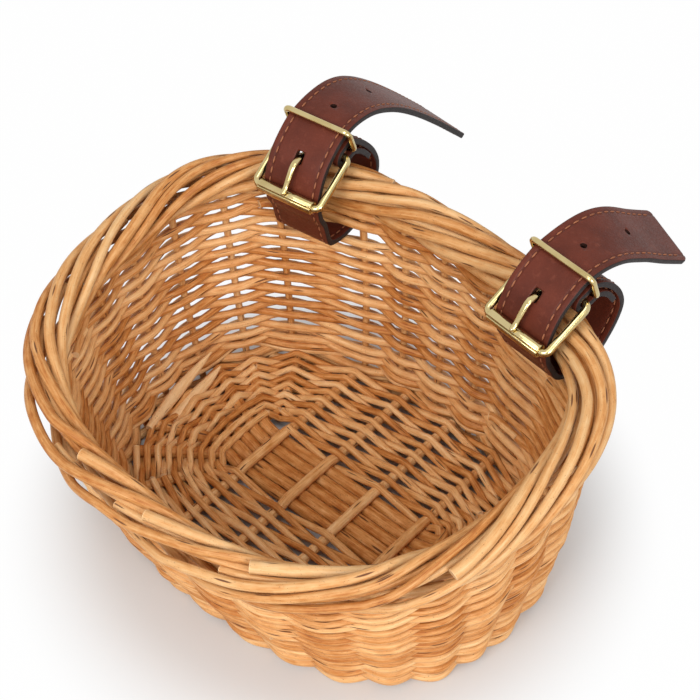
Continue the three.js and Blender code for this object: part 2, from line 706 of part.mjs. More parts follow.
// A wire bent into a rounded rectangle between two bars of the strap's plane
function wireLoop(from, to, halfWidth, corner, wire) {
  const direction = to.clone().sub(from).normalize();
  const length = from.distanceTo(to);
  const outline = new THREE.Path();
  outline.moveTo(corner, -halfWidth);
  outline.lineTo(length - corner, -halfWidth);
  outline.absarc(length - corner, -halfWidth + corner, corner, -Math.PI / 2, 0, false);
  outline.lineTo(length, halfWidth - corner);
  outline.absarc(length - corner, halfWidth - corner, corner, 0, Math.PI / 2, false);
  outline.lineTo(corner, halfWidth);
  outline.absarc(corner, halfWidth - corner, corner, Math.PI / 2, Math.PI, false);
  outline.lineTo(0, corner - halfWidth);
  outline.absarc(corner, corner - halfWidth, corner, Math.PI, 1.5 * Math.PI, false);
  const flat = outline.getPoints(cornerSteps / 2);
  const ends = flat.filter((p, i) => i === 0 || p.distanceTo(flat[i - 1]) > 1e-6);
  if (ends[0].distanceTo(ends[ends.length - 1]) < 1e-6) ends.pop();
  const points = ends.map((p) => new THREE.Vector3(
    from.x + direction.x * p.x, from.y + direction.y * p.x, p.y));
  const side = new THREE.Vector3(-direction.y, direction.x, 0);
  return rodGeometry(points, evenDiameters(points, wire), wireSides, side, true);
}

function rollerGeometry() {
  const half = strapWidth / 2 + edgePlay + buckleWire / 2 - buckleCorner - rollerEndPlay;
  const bore = buckleWire / 2 + pivotGap;
  const outer = rollerDiameter / 2;
  const profile = [[bore, -half], [outer, -half], [outer, half], [bore, half], [bore, -half]];
  const geometry = new THREE.LatheGeometry(profile.map(([r, y]) => new THREE.Vector2(r, y)), 14);
  return geometry.rotateX(Math.PI / 2).translate(rollerAt.x, rollerAt.y, 0);
}

function prongGeometry() {
  const eye = new THREE.Shape().absarc(0, 0, eyeRadius, 0, 2 * Math.PI, false);
  eye.holes.push(new THREE.Path().absarc(0, 0, eyeBore, 0, 2 * Math.PI, true));
  const ring = new THREE.ExtrudeGeometry(eye, { depth: prongWidth, bevelEnabled: false, curveSegments: 7 });
  ring.translate(heelAt.x, heelAt.y, -prongWidth / 2);
  const toHole = prongExit.clone().sub(heelAt).normalize();
  const root = heelAt.clone().addScaledVector(toHole, eyeBore + eyeWall / 2);
  const curve = new THREE.SplineCurve([root, prongExit, ...prongBend, ...prongTip]);
  const points = curve.getPoints(10);
  const shank = stripGeometry(points, prongThickness / 2, prongWidth, points.map(() => 0));
  return toGeometry(toSolid(ring).add(toSolid(shank)));
}

Object.entries(tailCourse).forEach(([name, tail]) => {
  const hand = name === 'right' ? 1 : -1;
  const turn = -hand * strapTurn;
  const outwards = new THREE.Vector3(-Math.sin(turn), Math.cos(turn), 0);
  const across = new THREE.Vector3(Math.cos(turn), Math.sin(turn), 0);
  const place = strapPlaces[name];
  const frame = new THREE.Group();
  const basis = new THREE.Matrix4().makeBasis(outwards, new THREE.Vector3(0, 0, 1), across);
  frame.quaternion.setFromRotationMatrix(basis);
  frame.position.copy(coreAt(place));
  basket.add(frame);

  const pass = slotAt(name) - coreAt(place).z;
  const points = strapRoute(tail, pass);
  const buckleHalf = strapWidth / 2 + edgePlay + buckleWire / 2;
  const keeperHalf = strapWidth / 2 + edgePlay + keeperWire / 2;
  const keeperTop = polar(keeperAt, keeperHeight, keeperLean);
  addPiece(frame, `strap_${name}`, strapGeometry(points, tailRoll[name]), 'leather');
  addPiece(frame, `buckle_frame_${name}`,
    wireLoop(rollerAt, heelAt, buckleHalf, buckleCorner, buckleWire), 'brass');
  addPiece(frame, `buckle_roller_${name}`, rollerGeometry(), 'brass');
  addPiece(frame, `buckle_prong_${name}`, prongGeometry(), 'brass');
  addPiece(frame, `strap_keeper_${name}`,
    wireLoop(keeperAt, keeperTop, keeperHalf, keeperCorner, keeperWire), 'brass');
});

export default basket;
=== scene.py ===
import bisect
import math
import random

import bmesh
import bpy
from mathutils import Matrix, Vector


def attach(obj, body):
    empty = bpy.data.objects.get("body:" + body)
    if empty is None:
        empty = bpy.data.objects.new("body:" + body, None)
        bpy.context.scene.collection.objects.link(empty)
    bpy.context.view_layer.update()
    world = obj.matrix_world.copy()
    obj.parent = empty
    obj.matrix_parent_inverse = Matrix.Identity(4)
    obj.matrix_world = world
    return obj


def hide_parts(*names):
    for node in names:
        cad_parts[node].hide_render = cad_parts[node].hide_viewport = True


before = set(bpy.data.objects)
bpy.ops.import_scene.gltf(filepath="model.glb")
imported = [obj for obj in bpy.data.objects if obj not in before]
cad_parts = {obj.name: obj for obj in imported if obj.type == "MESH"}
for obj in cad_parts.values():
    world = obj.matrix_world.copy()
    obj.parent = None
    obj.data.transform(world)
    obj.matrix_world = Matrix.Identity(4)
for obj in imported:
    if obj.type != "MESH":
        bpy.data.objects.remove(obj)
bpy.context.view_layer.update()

mm = 0.001  # lengths below are in millimetres, meshes are in metres
tau = 2 * math.pi
seat = 0.35  # room between rods, leather and metal that touch
leatherHalf = 1.2  # half the thickness of the straps
strapSides = ("left", "right")
scene = bpy.context.scene

print("stage: outline of the basket")

# the outline lies on the centre lines of the stakes
basketShape = dict(
    footHalfLength=87, footHalfDepth=65.5, footCorner=2.45,
    rimHalfLength=98, rimBackDepth=65, rimFrontDepth=95, rimBackCorner=2.4, rimFrontCorner=2.5,
    rimHeight=96, rimRise=0.13, bulge=3, bulgeAt=0.5,
    strapAlongRim=57.5, strapGap=36, betweenStraps=2, roundFront=10, samples=1440, nearby=0.05,
)


# a power that keeps the sign, for rounded outlines
def signedPower(value, power):
    return math.copysign(abs(value) ** power, value)


def ovalPoint(halfLength, backDepth, frontDepth, backCorner, frontCorner, angle):
    c, s = math.cos(angle), math.sin(angle)
    power = 2 / (backCorner if s > 0 else frontCorner)
    depth = backDepth if s > 0 else frontDepth
    return Vector((signedPower(c, power) * halfLength, signedPower(s, power) * depth, 0))


def rimPlan(angle):
    b = basketShape
    return ovalPoint(b["rimHalfLength"], b["rimBackDepth"], b["rimFrontDepth"],
                     b["rimBackCorner"], b["rimFrontCorner"], angle)


def footPlan(angle):
    b = basketShape
    depth, corner = b["footHalfDepth"], b["footCorner"]
    return ovalPoint(b["footHalfLength"], depth, depth, corner, corner, angle)


def sampleAngle(i):
    return math.pi / 2 - tau * i / basketShape["samples"]


rimArc = [0.0]
for i in range(1, basketShape["samples"] + 1):
    rimArc.append(rimArc[-1] + (rimPlan(sampleAngle(i)) - rimPlan(sampleAngle(i - 1))).length)
rimLength = rimArc[-1]


def angleAtArc(arc):
    wrapped = arc % rimLength
    low = bisect.bisect_right(rimArc, wrapped) - 1
    share = (wrapped - rimArc[low]) / (rimArc[low + 1] - rimArc[low])
    return sampleAngle(low + share)


def stakeArcsRound():
    b = basketShape
    near = b["strapAlongRim"] - b["strapGap"] / 2
    far = b["strapAlongRim"] + b["strapGap"] / 2
    half = [near * i / b["betweenStraps"] for i in range(b["betweenStraps"] + 1)]
    half += [far + (rimLength / 2 - far) * i / b["roundFront"] for i in range(b["roundFront"] + 1)]
    return half + [rimLength - arc for arc in reversed(half[1:-1])]


stakeArcs = stakeArcsRound()
stakeCount = len(stakeArcs)


# places round the wall are counted in stakes, clockwise from the middle of the back
def angleAt(place):
    within = place % stakeCount
    i = min(int(within), stakeCount - 1)
    after = stakeArcs[i + 1] if i + 1 < stakeCount else rimLength
    return angleAtArc(stakeArcs[i] + (after - stakeArcs[i]) * (within - i))


# middle of the border
def coreAt(place):
    plan = rimPlan(angleAt(place))
    return Vector((plan.x, plan.y, basketShape["rimHeight"] + basketShape["rimRise"] * plan.y))


# level direction out of the basket, square to a line that runs round it
def outwardFrom(pointAt, place):
    step = pointAt(place + basketShape["nearby"]) - pointAt(place - basketShape["nearby"])
    step.z = 0
    step.normalize()
    return Vector((-step.y, step.x, 0))


def outwardAt(place):
    return outwardFrom(coreAt, place)


def wallPoint(place, height):
    foot = footPlan(angleAt(place))
    core = coreAt(place)
    share = height / core.z
    at = basketShape["bulgeAt"]
    swell = basketShape["bulge"] * min(share / at, (1 - share) / (1 - at))
    plan = foot.lerp(Vector((core.x, core.y, 0)), share) + outwardAt(place) * swell
    return Vector((plan.x, plan.y, height))


def offWall(place, height, away):
    outward = outwardFrom(lambda at: wallPoint(at, height), place)
    return wallPoint(place, height) + outward * away


def between(chance, low, high):
    return low + (high - low) * chance.random()


def easeIn(distance, reach):
    share = min(1, max(0, distance / reach))
    return share * share * (3 - 2 * share)


# another node's output is linked to a socket, anything else is set on it
def feed(tree, socket, value):
    if isinstance(value, bpy.types.NodeSocket):
        tree.links.new(value, socket)
    elif socket.type == "RGBA":
        socket.default_value = (*value, 1)
    else:
        socket.default_value = value


def feedAll(tree, node, values):
    for key, value in values.items():
        feed(tree, node.inputs[key], value)


def addNode(tree, kind, values=None, **settings):
    node = tree.nodes.new(kind)
    for key, value in settings.items():
        setattr(node, key, value)
    feedAll(tree, node, values or {})
    return node


def newTree(kind, name, inputs, outputs):
    tree = bpy.data.node_groups.new(name, kind)
    for direction, sockets in (("INPUT", inputs), ("OUTPUT", outputs)):
        for socket, shape in sockets.items():
            tree.interface.new_socket(name=socket, in_out=direction, socket_type="NodeSocket" + shape)
    return tree, tree.nodes.new("NodeGroupInput"), tree.nodes.new("NodeGroupOutput")


def doMath(tree, operation, *values):
    return addNode(tree, "ShaderNodeMath", dict(enumerate(values)), operation=operation).outputs[0]


def mapRange(tree, value, low, high, toLow=0.0, toHigh=1.0, kind="SMOOTHSTEP"):
    values = {"Value": value, "From Min": low, "From Max": high, "To Min": toLow, "To Max": toHigh}
    return addNode(tree, "ShaderNodeMapRange", values, interpolation_type=kind).outputs["Result"]


def mixColour(tree, factor, a, b):
    return addNode(tree, "ShaderNodeMix", {0: factor, 6: a, 7: b}, data_type="RGBA").outputs[2]


def noiseAt(tree, vector, scale, detail, roughness=0.55):
    values = {"Vector": vector, "Scale": scale, "Detail": detail, "Roughness": roughness}
    return addNode(tree, "ShaderNodeTexNoise", values).outputs["Fac"]


def cellsAt(tree, vector, scale):
    values = {"Vector": vector, "Scale": scale, "Randomness": 1.0}
    return addNode(tree, "ShaderNodeTexVoronoi", values).outputs["Distance"]


def objectSpot(tree):
    return addNode(tree, "ShaderNodeTexCoord").outputs["Object"]


def attributeOf(tree, name, output="Fac"):
    return addNode(tree, "ShaderNodeAttribute", attribute_name=name).outputs[output]


def bumpFrom(tree, height, look):
    values = {"Height": height, "Strength": look["bump"], "Distance": look["bumpDepth"] * mm}
    return addNode(tree, "ShaderNodeBump", values).outputs["Normal"]


def startMaterial(name):
    material = bpy.data.materials.new(name)
    material.use_nodes = True
    tree = material.node_tree
    return material, tree, tree.nodes["Principled BSDF"]


# grain that runs along a rod; each pattern has its pace round and along the rod, then its noise
grainLook = dict(
    streak=((1.1, 26), (2.2, 5, 0.6)), fibre=((5.5, 70), (2.6, 3)),
    blotch=((0.8, 170), (1.2, 3)), speck=((1.6, 640), (2.3, 2)), knot=(0.9, 46),
    streakWeight=0.95, blotchWeight=0.6, fibreWeight=0.5, toneSpan=0.5, toneFrom=0.25, shift=61.7,
    specks=(0.63, 0.76, 0, 0.7), knots=(0.11, 0.19, 1, 0), fibreHeight=0.5,
)


def buildWillowGrain():
    look = grainLook
    inputs = {"Ring": "Vector", "Along": "Float", "Tone": "Float"}
    outputs = {"Level": "Float", "Marks": "Float", "Height": "Float"}
    group, source, target = newTree("ShaderNodeTree", "willowGrain", inputs, outputs)
    ring = addNode(group, "ShaderNodeSeparateXYZ", {0: source.outputs["Ring"]}).outputs
    shift = doMath(group, "MULTIPLY", source.outputs["Tone"], look["shift"])

    def rodSpace(aroundPace, alongPace):
        x = doMath(group, "MULTIPLY_ADD", ring[0], aroundPace, shift)
        y = doMath(group, "MULTIPLY", ring[1], aroundPace)
        z = doMath(group, "MULTIPLY", source.outputs["Along"], alongPace)
        return addNode(group, "ShaderNodeCombineXYZ", {0: x, 1: y, 2: z}).outputs[0]

    noises = {}
    for kind in ("streak", "fibre", "blotch", "speck"):
        pace, noise = look[kind]
        noises[kind] = noiseAt(group, rodSpace(*pace), *noise)
    level = doMath(group, "MULTIPLY_ADD", source.outputs["Tone"], look["toneSpan"], look["toneFrom"])
    for kind in ("streak", "blotch", "fibre"):
        swing = doMath(group, "SUBTRACT", noises[kind], 0.5)
        level = doMath(group, "MULTIPLY_ADD", swing, look[kind + "Weight"], level)
    knots = mapRange(group, cellsAt(group, rodSpace(*look["knot"]), 1.0), *look["knots"])
    marks = doMath(group, "MAXIMUM", mapRange(group, noises["speck"], *look["specks"]), knots)
    height = doMath(group, "MULTIPLY_ADD", noises["fibre"], look["fibreHeight"], noises["streak"])
    height = doMath(group, "SUBTRACT", height, marks)
    feedAll(group, target, {"Level": level, "Marks": marks, "Height": height})
    return group


willowGrain = buildWillowGrain()

# colours run from shade to light
willowLook = dict(
    stake=dict(
        colours=[(0.25, 0.056, 0.006), (0.44, 0.165, 0.036), (0.585, 0.29, 0.102),
                 (0.65, 0.385, 0.17), (0.685, 0.455, 0.24)],
        smooth=0.40, rough=0.62, specular=0.32,
    ),
    weaver=dict(
        colours=[(0.27, 0.058, 0.006), (0.48, 0.175, 0.036), (0.66, 0.318, 0.110),
                 (0.77, 0.45, 0.195), (0.84, 0.555, 0.285)],
        smooth=0.42, rough=0.64, specular=0.28,
    ),
    base=dict(
        colours=[(0.20, 0.040, 0.004), (0.41, 0.132, 0.022), (0.60, 0.262, 0.075),
                 (0.75, 0.42, 0.172), (0.86, 0.57, 0.30)],
        smooth=0.46, rough=0.68, specular=0.22,
    ),
    marks=(0.13, 0.045, 0.014), cutWood=(0.70, 0.46, 0.24), cutFade=(0.1, 0.4), cutShow=0.85,
    glossFade=(0.4, 1.1), bump=0.35, bumpDepth=0.35,
)


def willowMaterial(kind):
    shared, look = willowLook, willowLook[kind]
    material, tree, shader = startMaterial(f"willow_{kind}_finish")
    values = {"Ring": attributeOf(tree, "ring", "Vector"), "Along": attributeOf(tree, "along"),
              "Tone": attributeOf(tree, "rodTone")}
    grain = addNode(tree, "ShaderNodeGroup", values, node_tree=willowGrain).outputs
    ramp = addNode(tree, "ShaderNodeValToRGB", {"Fac": grain["Level"]})
    stops = ramp.color_ramp.elements
    while len(stops) < len(look["colours"]):
        stops.new(0.5)
    for i, colour in enumerate(look["colours"]):
        stops[i].position = i / (len(look["colours"]) - 1)
        stops[i].color = (*colour, 1)
    marked = mixColour(tree, grain["Marks"], ramp.outputs["Color"], shared["marks"])
    near, far = shared["cutFade"]
    cut = mapRange(tree, attributeOf(tree, "endGap"), near * mm, far * mm, shared["cutShow"], 0)
    feedAll(tree, shader, {
        "Base Color": mixColour(tree, cut, marked, shared["cutWood"]),
        "Specular IOR Level": look["specular"],
        "Roughness": mapRange(tree, grain["Height"], *shared["glossFade"], look["rough"], look["smooth"]),
        "Normal": bumpFrom(tree, grain["Height"], shared),
    })
    return material


stakeFinish, weaverFinish, baseFinish = [willowMaterial(kind) for kind in ("stake", "weaver", "base")]
print("stage: willow finishes")


# nodes joined by their first sockets
def chain(tree, *nodes):
    for a, b in zip(nodes, nodes[1:]):
        tree.links.new(a.outputs[0], b.inputs[0])


def keepValue(tree, name, value, kind="FLOAT"):
    return addNode(tree, "GeometryNodeStoreNamedAttribute", {"Name": name, "Value": value},
                   data_type=kind, domain="POINT")


# lines of points become round rods, each with its own thickness and tone
def buildRodTree():
    inputs = {"Lines": "Geometry", "Step": "Float", "Sides": "Int", "Finish": "Material"}
    tree, source, target = newTree("GeometryNodeTree", "rodSweep", inputs, {"Rods": "Geometry"})
    walked = addNode(tree, "GeometryNodeSplineParameter").outputs["Length"]
    whole = addNode(tree, "GeometryNodeSplineLength").outputs["Length"]
    toEnd = doMath(tree, "MINIMUM", doMath(tree, "SUBTRACT", whole, walked), walked)
    radius = addNode(tree, "GeometryNodeInputNamedAttribute", {"Name": "rodRadius"}, data_type="FLOAT")
    circle = addNode(tree, "GeometryNodeCurvePrimitiveCircle",
                     {"Resolution": source.outputs["Sides"], "Radius": 1.0}, mode="RADIUS")
    position = addNode(tree, "GeometryNodeInputPosition").outputs["Position"]
    section = keepValue(tree, "ring", position, "FLOAT_VECTOR")
    chain(tree, circle, section)
    sweep = {"Profile Curve": section.outputs[0], "Scale": radius.outputs["Attribute"], "Fill Caps": True}
    chain(
        tree, source,
        addNode(tree, "GeometryNodeMeshToCurve"),
        addNode(tree, "GeometryNodeCurveSplineType", spline_type="CATMULL_ROM"),
        addNode(tree, "GeometryNodeSetSplineResolution", {"Resolution": 10}),
        addNode(tree, "GeometryNodeResampleCurve", {"Length": source.outputs["Step"]}, mode="LENGTH"),
        keepValue(tree, "along", walked),
        keepValue(tree, "endGap", toEnd),
        addNode(tree, "GeometryNodeCurveToMesh", sweep),
        addNode(tree, "GeometryNodeSetShadeSmooth"),
        addNode(tree, "GeometryNodeRealizeInstances"),
        addNode(tree, "GeometryNodeSetMaterial", {"Material": source.outputs["Finish"]}),
        target,
    )
    return tree


rodTree = buildRodTree()


def addObject(name, data):
    piece = bpy.data.objects.new(name, data)
    scene.collection.objects.link(piece)
    return piece


waiting = []  # pieces whose node trees are still to be turned into plain meshes


def treePiece(name, mesh, tree, values, body, nodes, slot):
    piece = addObject(name, mesh)
    modifier = piece.modifiers.new(tree.name, "NODES")
    modifier.node_group = tree
    for item in tree.interface.items_tree:
        if item.name in values:
            modifier[item.identifier] = values[item.name]
    waiting.append((piece, body, nodes, slot))


def makePlain(piece, depsgraph):
    plain = bpy.data.meshes.new_from_object(piece.evaluated_get(depsgraph))
    plain.name = piece.name
    piece.modifiers.clear()
    piece.data = plain


def handOver(piece, body, nodes):
    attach(piece, body)
    if nodes:
        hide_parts(*nodes)


def settleWaiting():
    bpy.context.view_layer.update()
    depsgraph = bpy.context.evaluated_depsgraph_get()
    for piece, body, nodes, slot in waiting:
        makePlain(piece, depsgraph)
        handOver(piece, body, nodes)
    waiting.clear()


def lineMesh(name, lines, closed=False):
    points, edges = [], []
    for line in lines:
        first = len(points)
        points += [p * mm for p in line]
        edges += [(i, i + 1) for i in range(first, len(points) - 1)]
        if closed:
            edges.append((len(points) - 1, first))
    mesh = bpy.data.meshes.new(name)
    mesh.from_pydata(points, edges, [])
    return mesh


def sweepRods(name, rods, look, finish, body, node, slot, closed=False):
    mesh = lineMesh(name, [rod["points"] for rod in rods], closed)
    radii = [r * mm for rod in rods for r in rod["radii"]]
    tones = [rod["tone"] for rod in rods for _ in rod["points"]]
    for key, numbers in (("rodRadius", radii), ("rodTone", tones)):
        mesh.attributes.new(key, "FLOAT", "POINT").data.foreach_set("value", numbers)
    values = {"Step": look["step"] * mm, "Sides": look["ringSides"], "Finish": finish}
    treePiece(name, mesh, rodTree, values, body, [node], slot)


# stakes: each bends over at the top and winds round the rim with its neighbours
stakeLook = dict(
    wallRadius=1.5, radius=2.15, tipRadius=1.8, stout=(0.84, 1.07), foot=1.2, wallStep=8,
    borderRods=7, borderRadius=6.75, outerRadius=6.99, perSpacing=3, endShort=0.2, endSpread=(0, 0.5),
    bendHeight=4.4, bendLean=0.06, bendReach=0.3, bendEase=0.5, startTurn=0.25, settleTurn=0.25,
    tuck=(5.4, 6.6), tuckDepth=3.5, tuckTurn=0.5, tuckTip=1.4, tuckRate=2.2,
    wander=0.42, wanderRate=1.7, turnWander=0.11, turnRate=1.1, lean=0.5,
    cutEnds={3: 4.95, 7: 3.95, 9: 3.9, 11: 3.5, 20: 4.6, 24: 4.3},  # spacings to a blunt end in view
    step=1.4, ringSides=12, seed=11,
)
borderTurn = tau / (stakeLook["borderRods"] + 1)
under = 1.5 * math.pi


# rods beside a cut end lie over into its room, by a share of the turn between two rods
def leanOver(stake, along):
    rods = stakeLook["borderRods"]
    shift = 0.0
    for other, cut in stakeLook["cutEnds"].items():
        apart = (stake - other + stakeCount // 2) % stakeCount - stakeCount // 2
        gone = along + apart
        if apart == 0 or not cut < gone < rods:
            continue
        room = stakeLook["lean"] * easeIn(gone - cut, 1) * easeIn(rods - gone, 1)
        shift += room * along / gone if apart > 0 else -room * (rods - along) / (rods - gone)
    return shift


def roundRim(place, turn, reach):
    spot = coreAt(place) + outwardAt(place) * (reach * math.cos(turn))
    spot.z += reach * math.sin(turn)
    return spot


def stakeRod(stake, chance):
    look = stakeLook
    foot, radius, border, bend = look["foot"], look["radius"], look["borderRadius"], look["bendReach"]
    rimUnder = coreAt(stake).z - look["outerRadius"]
    bendStart = rimUnder - look["bendHeight"]
    steps = round((bendStart - foot) / look["wallStep"])
    points = [wallPoint(stake, foot + (bendStart - foot) * i / steps) for i in range(steps + 1)]
    radii = [look["wallRadius"]] * len(points)
    points.append(wallPoint(stake + look["bendLean"], rimUnder - look["bendHeight"] / 3))
    radii.append(radius)
    blunt = stake in look["cutEnds"]
    tipped = look["borderRods"] - look["endShort"] - between(chance, *look["endSpread"])
    last = look["cutEnds"].get(stake, tipped)
    tip = radius if blunt else look["tipRadius"]
    count = round((last - bend) * look["perSpacing"])
    phase = between(chance, 0, tau)
    thick = between(chance, *look["stout"])
    for i in range(count + 1):
        share = i / count
        along = bend + (last - bend) * share
        ease = min(1, (along - bend) / look["bendEase"])
        wound = look["startTurn"] + look["settleTurn"] * ease + along - bend + leanOver(stake, along)
        turn = under - borderTurn * wound
        turn += look["turnWander"] * math.sin(look["turnRate"] * along + 2 * phase) * ease
        reach = border + look["wander"] * math.sin(look["wanderRate"] * along + phase) * ease
        points.append(roundRim(stake + along, turn, reach))
        radii.append((radius * (1 - share) + tip * share) * thick)
    tuck = 0 if blunt else round(between(chance, *look["tuck"]) * look["perSpacing"])
    for i in range(1, tuck + 1):
        sunk = min(1, look["tuckRate"] * i / tuck)
        on = i / look["perSpacing"]
        reach = border + (look["tuckDepth"] - border) * sunk
        points.append(roundRim(stake + last + on, turn - borderTurn * (on + look["tuckTurn"] * sunk), reach))
        radii.append(tip + (look["tuckTip"] - tip) * i / tuck)
    return dict(points=points, radii=radii, tone=chance.random())


stakeChance = random.Random(stakeLook["seed"])
for stake in range(stakeCount):
    label = f"stake_{stake + 1:02d}"
    rods = [stakeRod(stake, stakeChance)]
    sweepRods("willow_" + label, rods, stakeLook, stakeFinish, "basket", label, "willow_stake")
print("stage: stakes and border", stakeCount)

# upsett: three level rounds of stouter rods at the foot, each with a thinner fellow
upsettLook = dict(
    diameter=4.2, rounds=3, jointStep=7, flat=1.819, standOff=2.8, climb=(0, 0.2), uneven=(0.95, 1.03),
    rods=[dict(radius=2.0, rise=0.18), dict(radius=1.65, rise=2.2)], fellowStart=3,
    startAfter=0.5, endBefore=0.52, step=1.5, ringSides=12, seed=23,
    # slanting butts of other rods inside the foot: place, height and radius
    butts=[[(18.9, 5, 1.6), (19.7, 5.6, 2.4), (20.4, 7.6, 2.6), (20.9, 10.4, 1.7), (21.2, 13.4, 0.3)],
           [(18.6, 8, 1.6), (19.5, 9, 2.4), (20.2, 11.6, 2.5), (20.8, 15.4, 1.5), (21.15, 18.6, 0.3)]],
    # the butts' tone lies past the palest stop: painted light that lifts them out of the shade inside the
    # foot
    buttInset=(10.6, 6.6), buttPaintedLightTone=1.4,
)


def upsettRod(turn, fellow, chance):
    look, rod = upsettLook, upsettLook["rods"][fellow]
    level = look["flat"] + turn * (look["diameter"] + seat) + rod["rise"]
    points, radii = [], []
    for k in range(stakeCount + 2):
        place = turn * look["jointStep"] + look["fellowStart"] * fellow + k
        away = look["standOff"] if (place + turn + fellow) % 2 == 0 else -look["standOff"]
        if k == 0:
            place += look["startAfter"]
            away = 0
        if k == stakeCount + 1:
            place -= look["endBefore"]
            away = 0
        points.append(offWall(place, level + between(chance, *look["climb"]), away))
        radii.append(rod["radius"] * between(chance, *look["uneven"]))
    return dict(points=points, radii=radii, tone=chance.random())


upsettChance = random.Random(upsettLook["seed"])
for turn in range(upsettLook["rounds"]):
    rods = [upsettRod(turn, fellow, upsettChance) for fellow in range(len(upsettLook["rods"]))]
    if turn == 0:
        # the butts are coloured with the painted-light tone, paler than their shaded place would show
        for butt, inset in zip(upsettLook["butts"], upsettLook["buttInset"]):
            rods.append(dict(points=[offWall(place, height, -inset) for place, height, _ in butt],
                             radii=[radius for _, _, radius in butt], tone=upsettLook["buttPaintedLightTone"]))
    sweepRods(f"willow_upsett_{turn + 1}", rods, upsettLook, weaverFinish,
              "basket", f"upsett_rod_{turn + 1}", "willow_weaver")
print("stage: upsett")

# wall weave: two strands chase each other round and up
weaveLook = dict(
    turns=13, tipStart=0.3, parts=3, bottom=13.09, topGap=9.64, swell=1.05, tipPower=0.8,
    standOff=0.6, hug=0.97, jitter=0.25, sway=0.3,
    strapRow=dict(right=21, left=20), fill=0.73, slotReach=16,
    rodPasses=(36, 56), shortest=8, stout=(0.9, 1.1), thick=1.07, taper=0.17, uneven=(0.96, 1.04),
    butt=dict(on=-0.34, rise=-0.5, sink=-0.9, radius=1.05),
    tip=dict(on=0.3, rise=0.6, sink=-0.2, radius=0.72),
    step=1.5, ringSides=10, seed=5,
)
weaveRows = 2 * (weaveLook["turns"] - 1)
strapPlace = basketShape["betweenStraps"] + 0.5
strapPlaces = {"right": strapPlace, "left": stakeCount - strapPlace}


def weaveTopAt(place):
    return coreAt(place).z - weaveLook["topGap"]


def rowPitch(place):
    return (weaveTopAt(place) - weaveLook["bottom"]) / weaveRows


def rowHeight(place, row):
    return weaveLook["bottom"] + rowPitch(place) * row


def slotAt(side):
    climb = 2 * strapPlaces[side] / stakeCount
    return rowHeight(strapPlaces[side], weaveLook["strapRow"][side] + climb - math.floor(climb + 0.5))


# the rows part round a strap
def partRows(place, row):
    height = rowHeight(place, row)
    within = place % stakeCount
    strap = next((side for side, p in strapPlaces.items() if abs(within - p) < 1), None)
    if strap is None:
        return height
    slot = slotAt(strap)
    pitch = rowPitch(strapPlaces[strap])
    push = (2 * leatherHalf + weaveLook["fill"] * pitch) / 2 + 3 * seat - pitch / 2
    if height < slot:
        return height - push * math.exp((height - slot) / weaveLook["slotReach"])
    top = weaveTopAt(place)
    return height + push * (top - height) / (top - slot)


# row of a strand, and its thickness as a share of the whole, after so many turns
def spiralAt(turns, lane):
    whole = weaveLook["turns"]
    if turns < 1:
        return lane * turns, turns
    last = turns - (whole - 1)
    if last > 0:
        return 2 * (whole - 2 + last) + lane * (1 - last), 1 - last
    return 2 * (turns - 1) + lane, 1


def weaverPasses(strand, chance):
    look = weaveLook
    passes = []
    first = math.ceil(look["tipStart"] * stakeCount)
    last = math.floor((look["turns"] - look["tipStart"]) * stakeCount)
    for place in range(first, last + 1):
        row, share = spiralAt(place / stakeCount, strand + 0.5)
        side = 1 if (place + strand) % 2 == 0 else -1
        radius = rowPitch(place) / 2 * look["swell"] * share ** look["tipPower"]
        height = partRows(place, row) + look["jitter"] * (2 * chance.random() - 1)
        passes.append((place, height, side, radius))
    return passes


def passSpot(place, height, side, radius, extra):
    return offWall(place, height, side * (weaveLook["standOff"] + radius * weaveLook["hug"]) + extra)


def endSpot(spot, end):
    place, height, _, radius = spot
    return passSpot(place + end["on"], height + end["rise"], -1, radius, end["sink"]), radius * end["radius"]


# a strand is many rods laid end to end: each starts thick, and its ends lie inside the basket
def strandRods(passes, chance):
    look = weaveLook
    rods, first, final = [], 0, len(passes) - 1
    while first < final:
        last = min(first + round(between(chance, *look["rodPasses"])), final)
        while last < final and passes[last][2] > 0:
            last += 1
        if final - last < look["shortest"]:
            last = final
        stout = between(chance, *look["stout"])
        spots = [endSpot(passes[first], look["butt"])] if first > 0 else []
        for index in range(first, last + 1):
            place, height, side, radius = passes[index]
            share = (index - first) / (last - first)
            wide = radius * stout * (look["thick"] - look["taper"] * share) * between(chance, *look["uneven"])
            sway = look["sway"] * (chance.random() - 0.5)
            spots.append((passSpot(place, height, side, radius, sway), wide))
        if last < final:
            spots.append(endSpot(passes[last], look["tip"]))
        points, radii = zip(*spots)
        rods.append(dict(points=points, radii=radii, tone=chance.random()))
        first = last
    return rods


weaveChance = random.Random(weaveLook["seed"])
for strand, letter in enumerate("ab"):
    passes = weaverPasses(strand, weaveChance)
    for part in range(weaveLook["parts"]):
        low = len(passes) * part // weaveLook["parts"]
        high = len(passes) * (part + 1) // weaveLook["parts"]
        label = f"weaver_{letter}{part + 1}"
        rods = strandRods(passes[low:high + 1], weaveChance)
        sweepRods("willow_" + label, rods, weaveLook, weaverFinish,
                  "basket", "wall_" + label, "willow_weaver")
print("stage: wall weave", weaveRows, "rows")

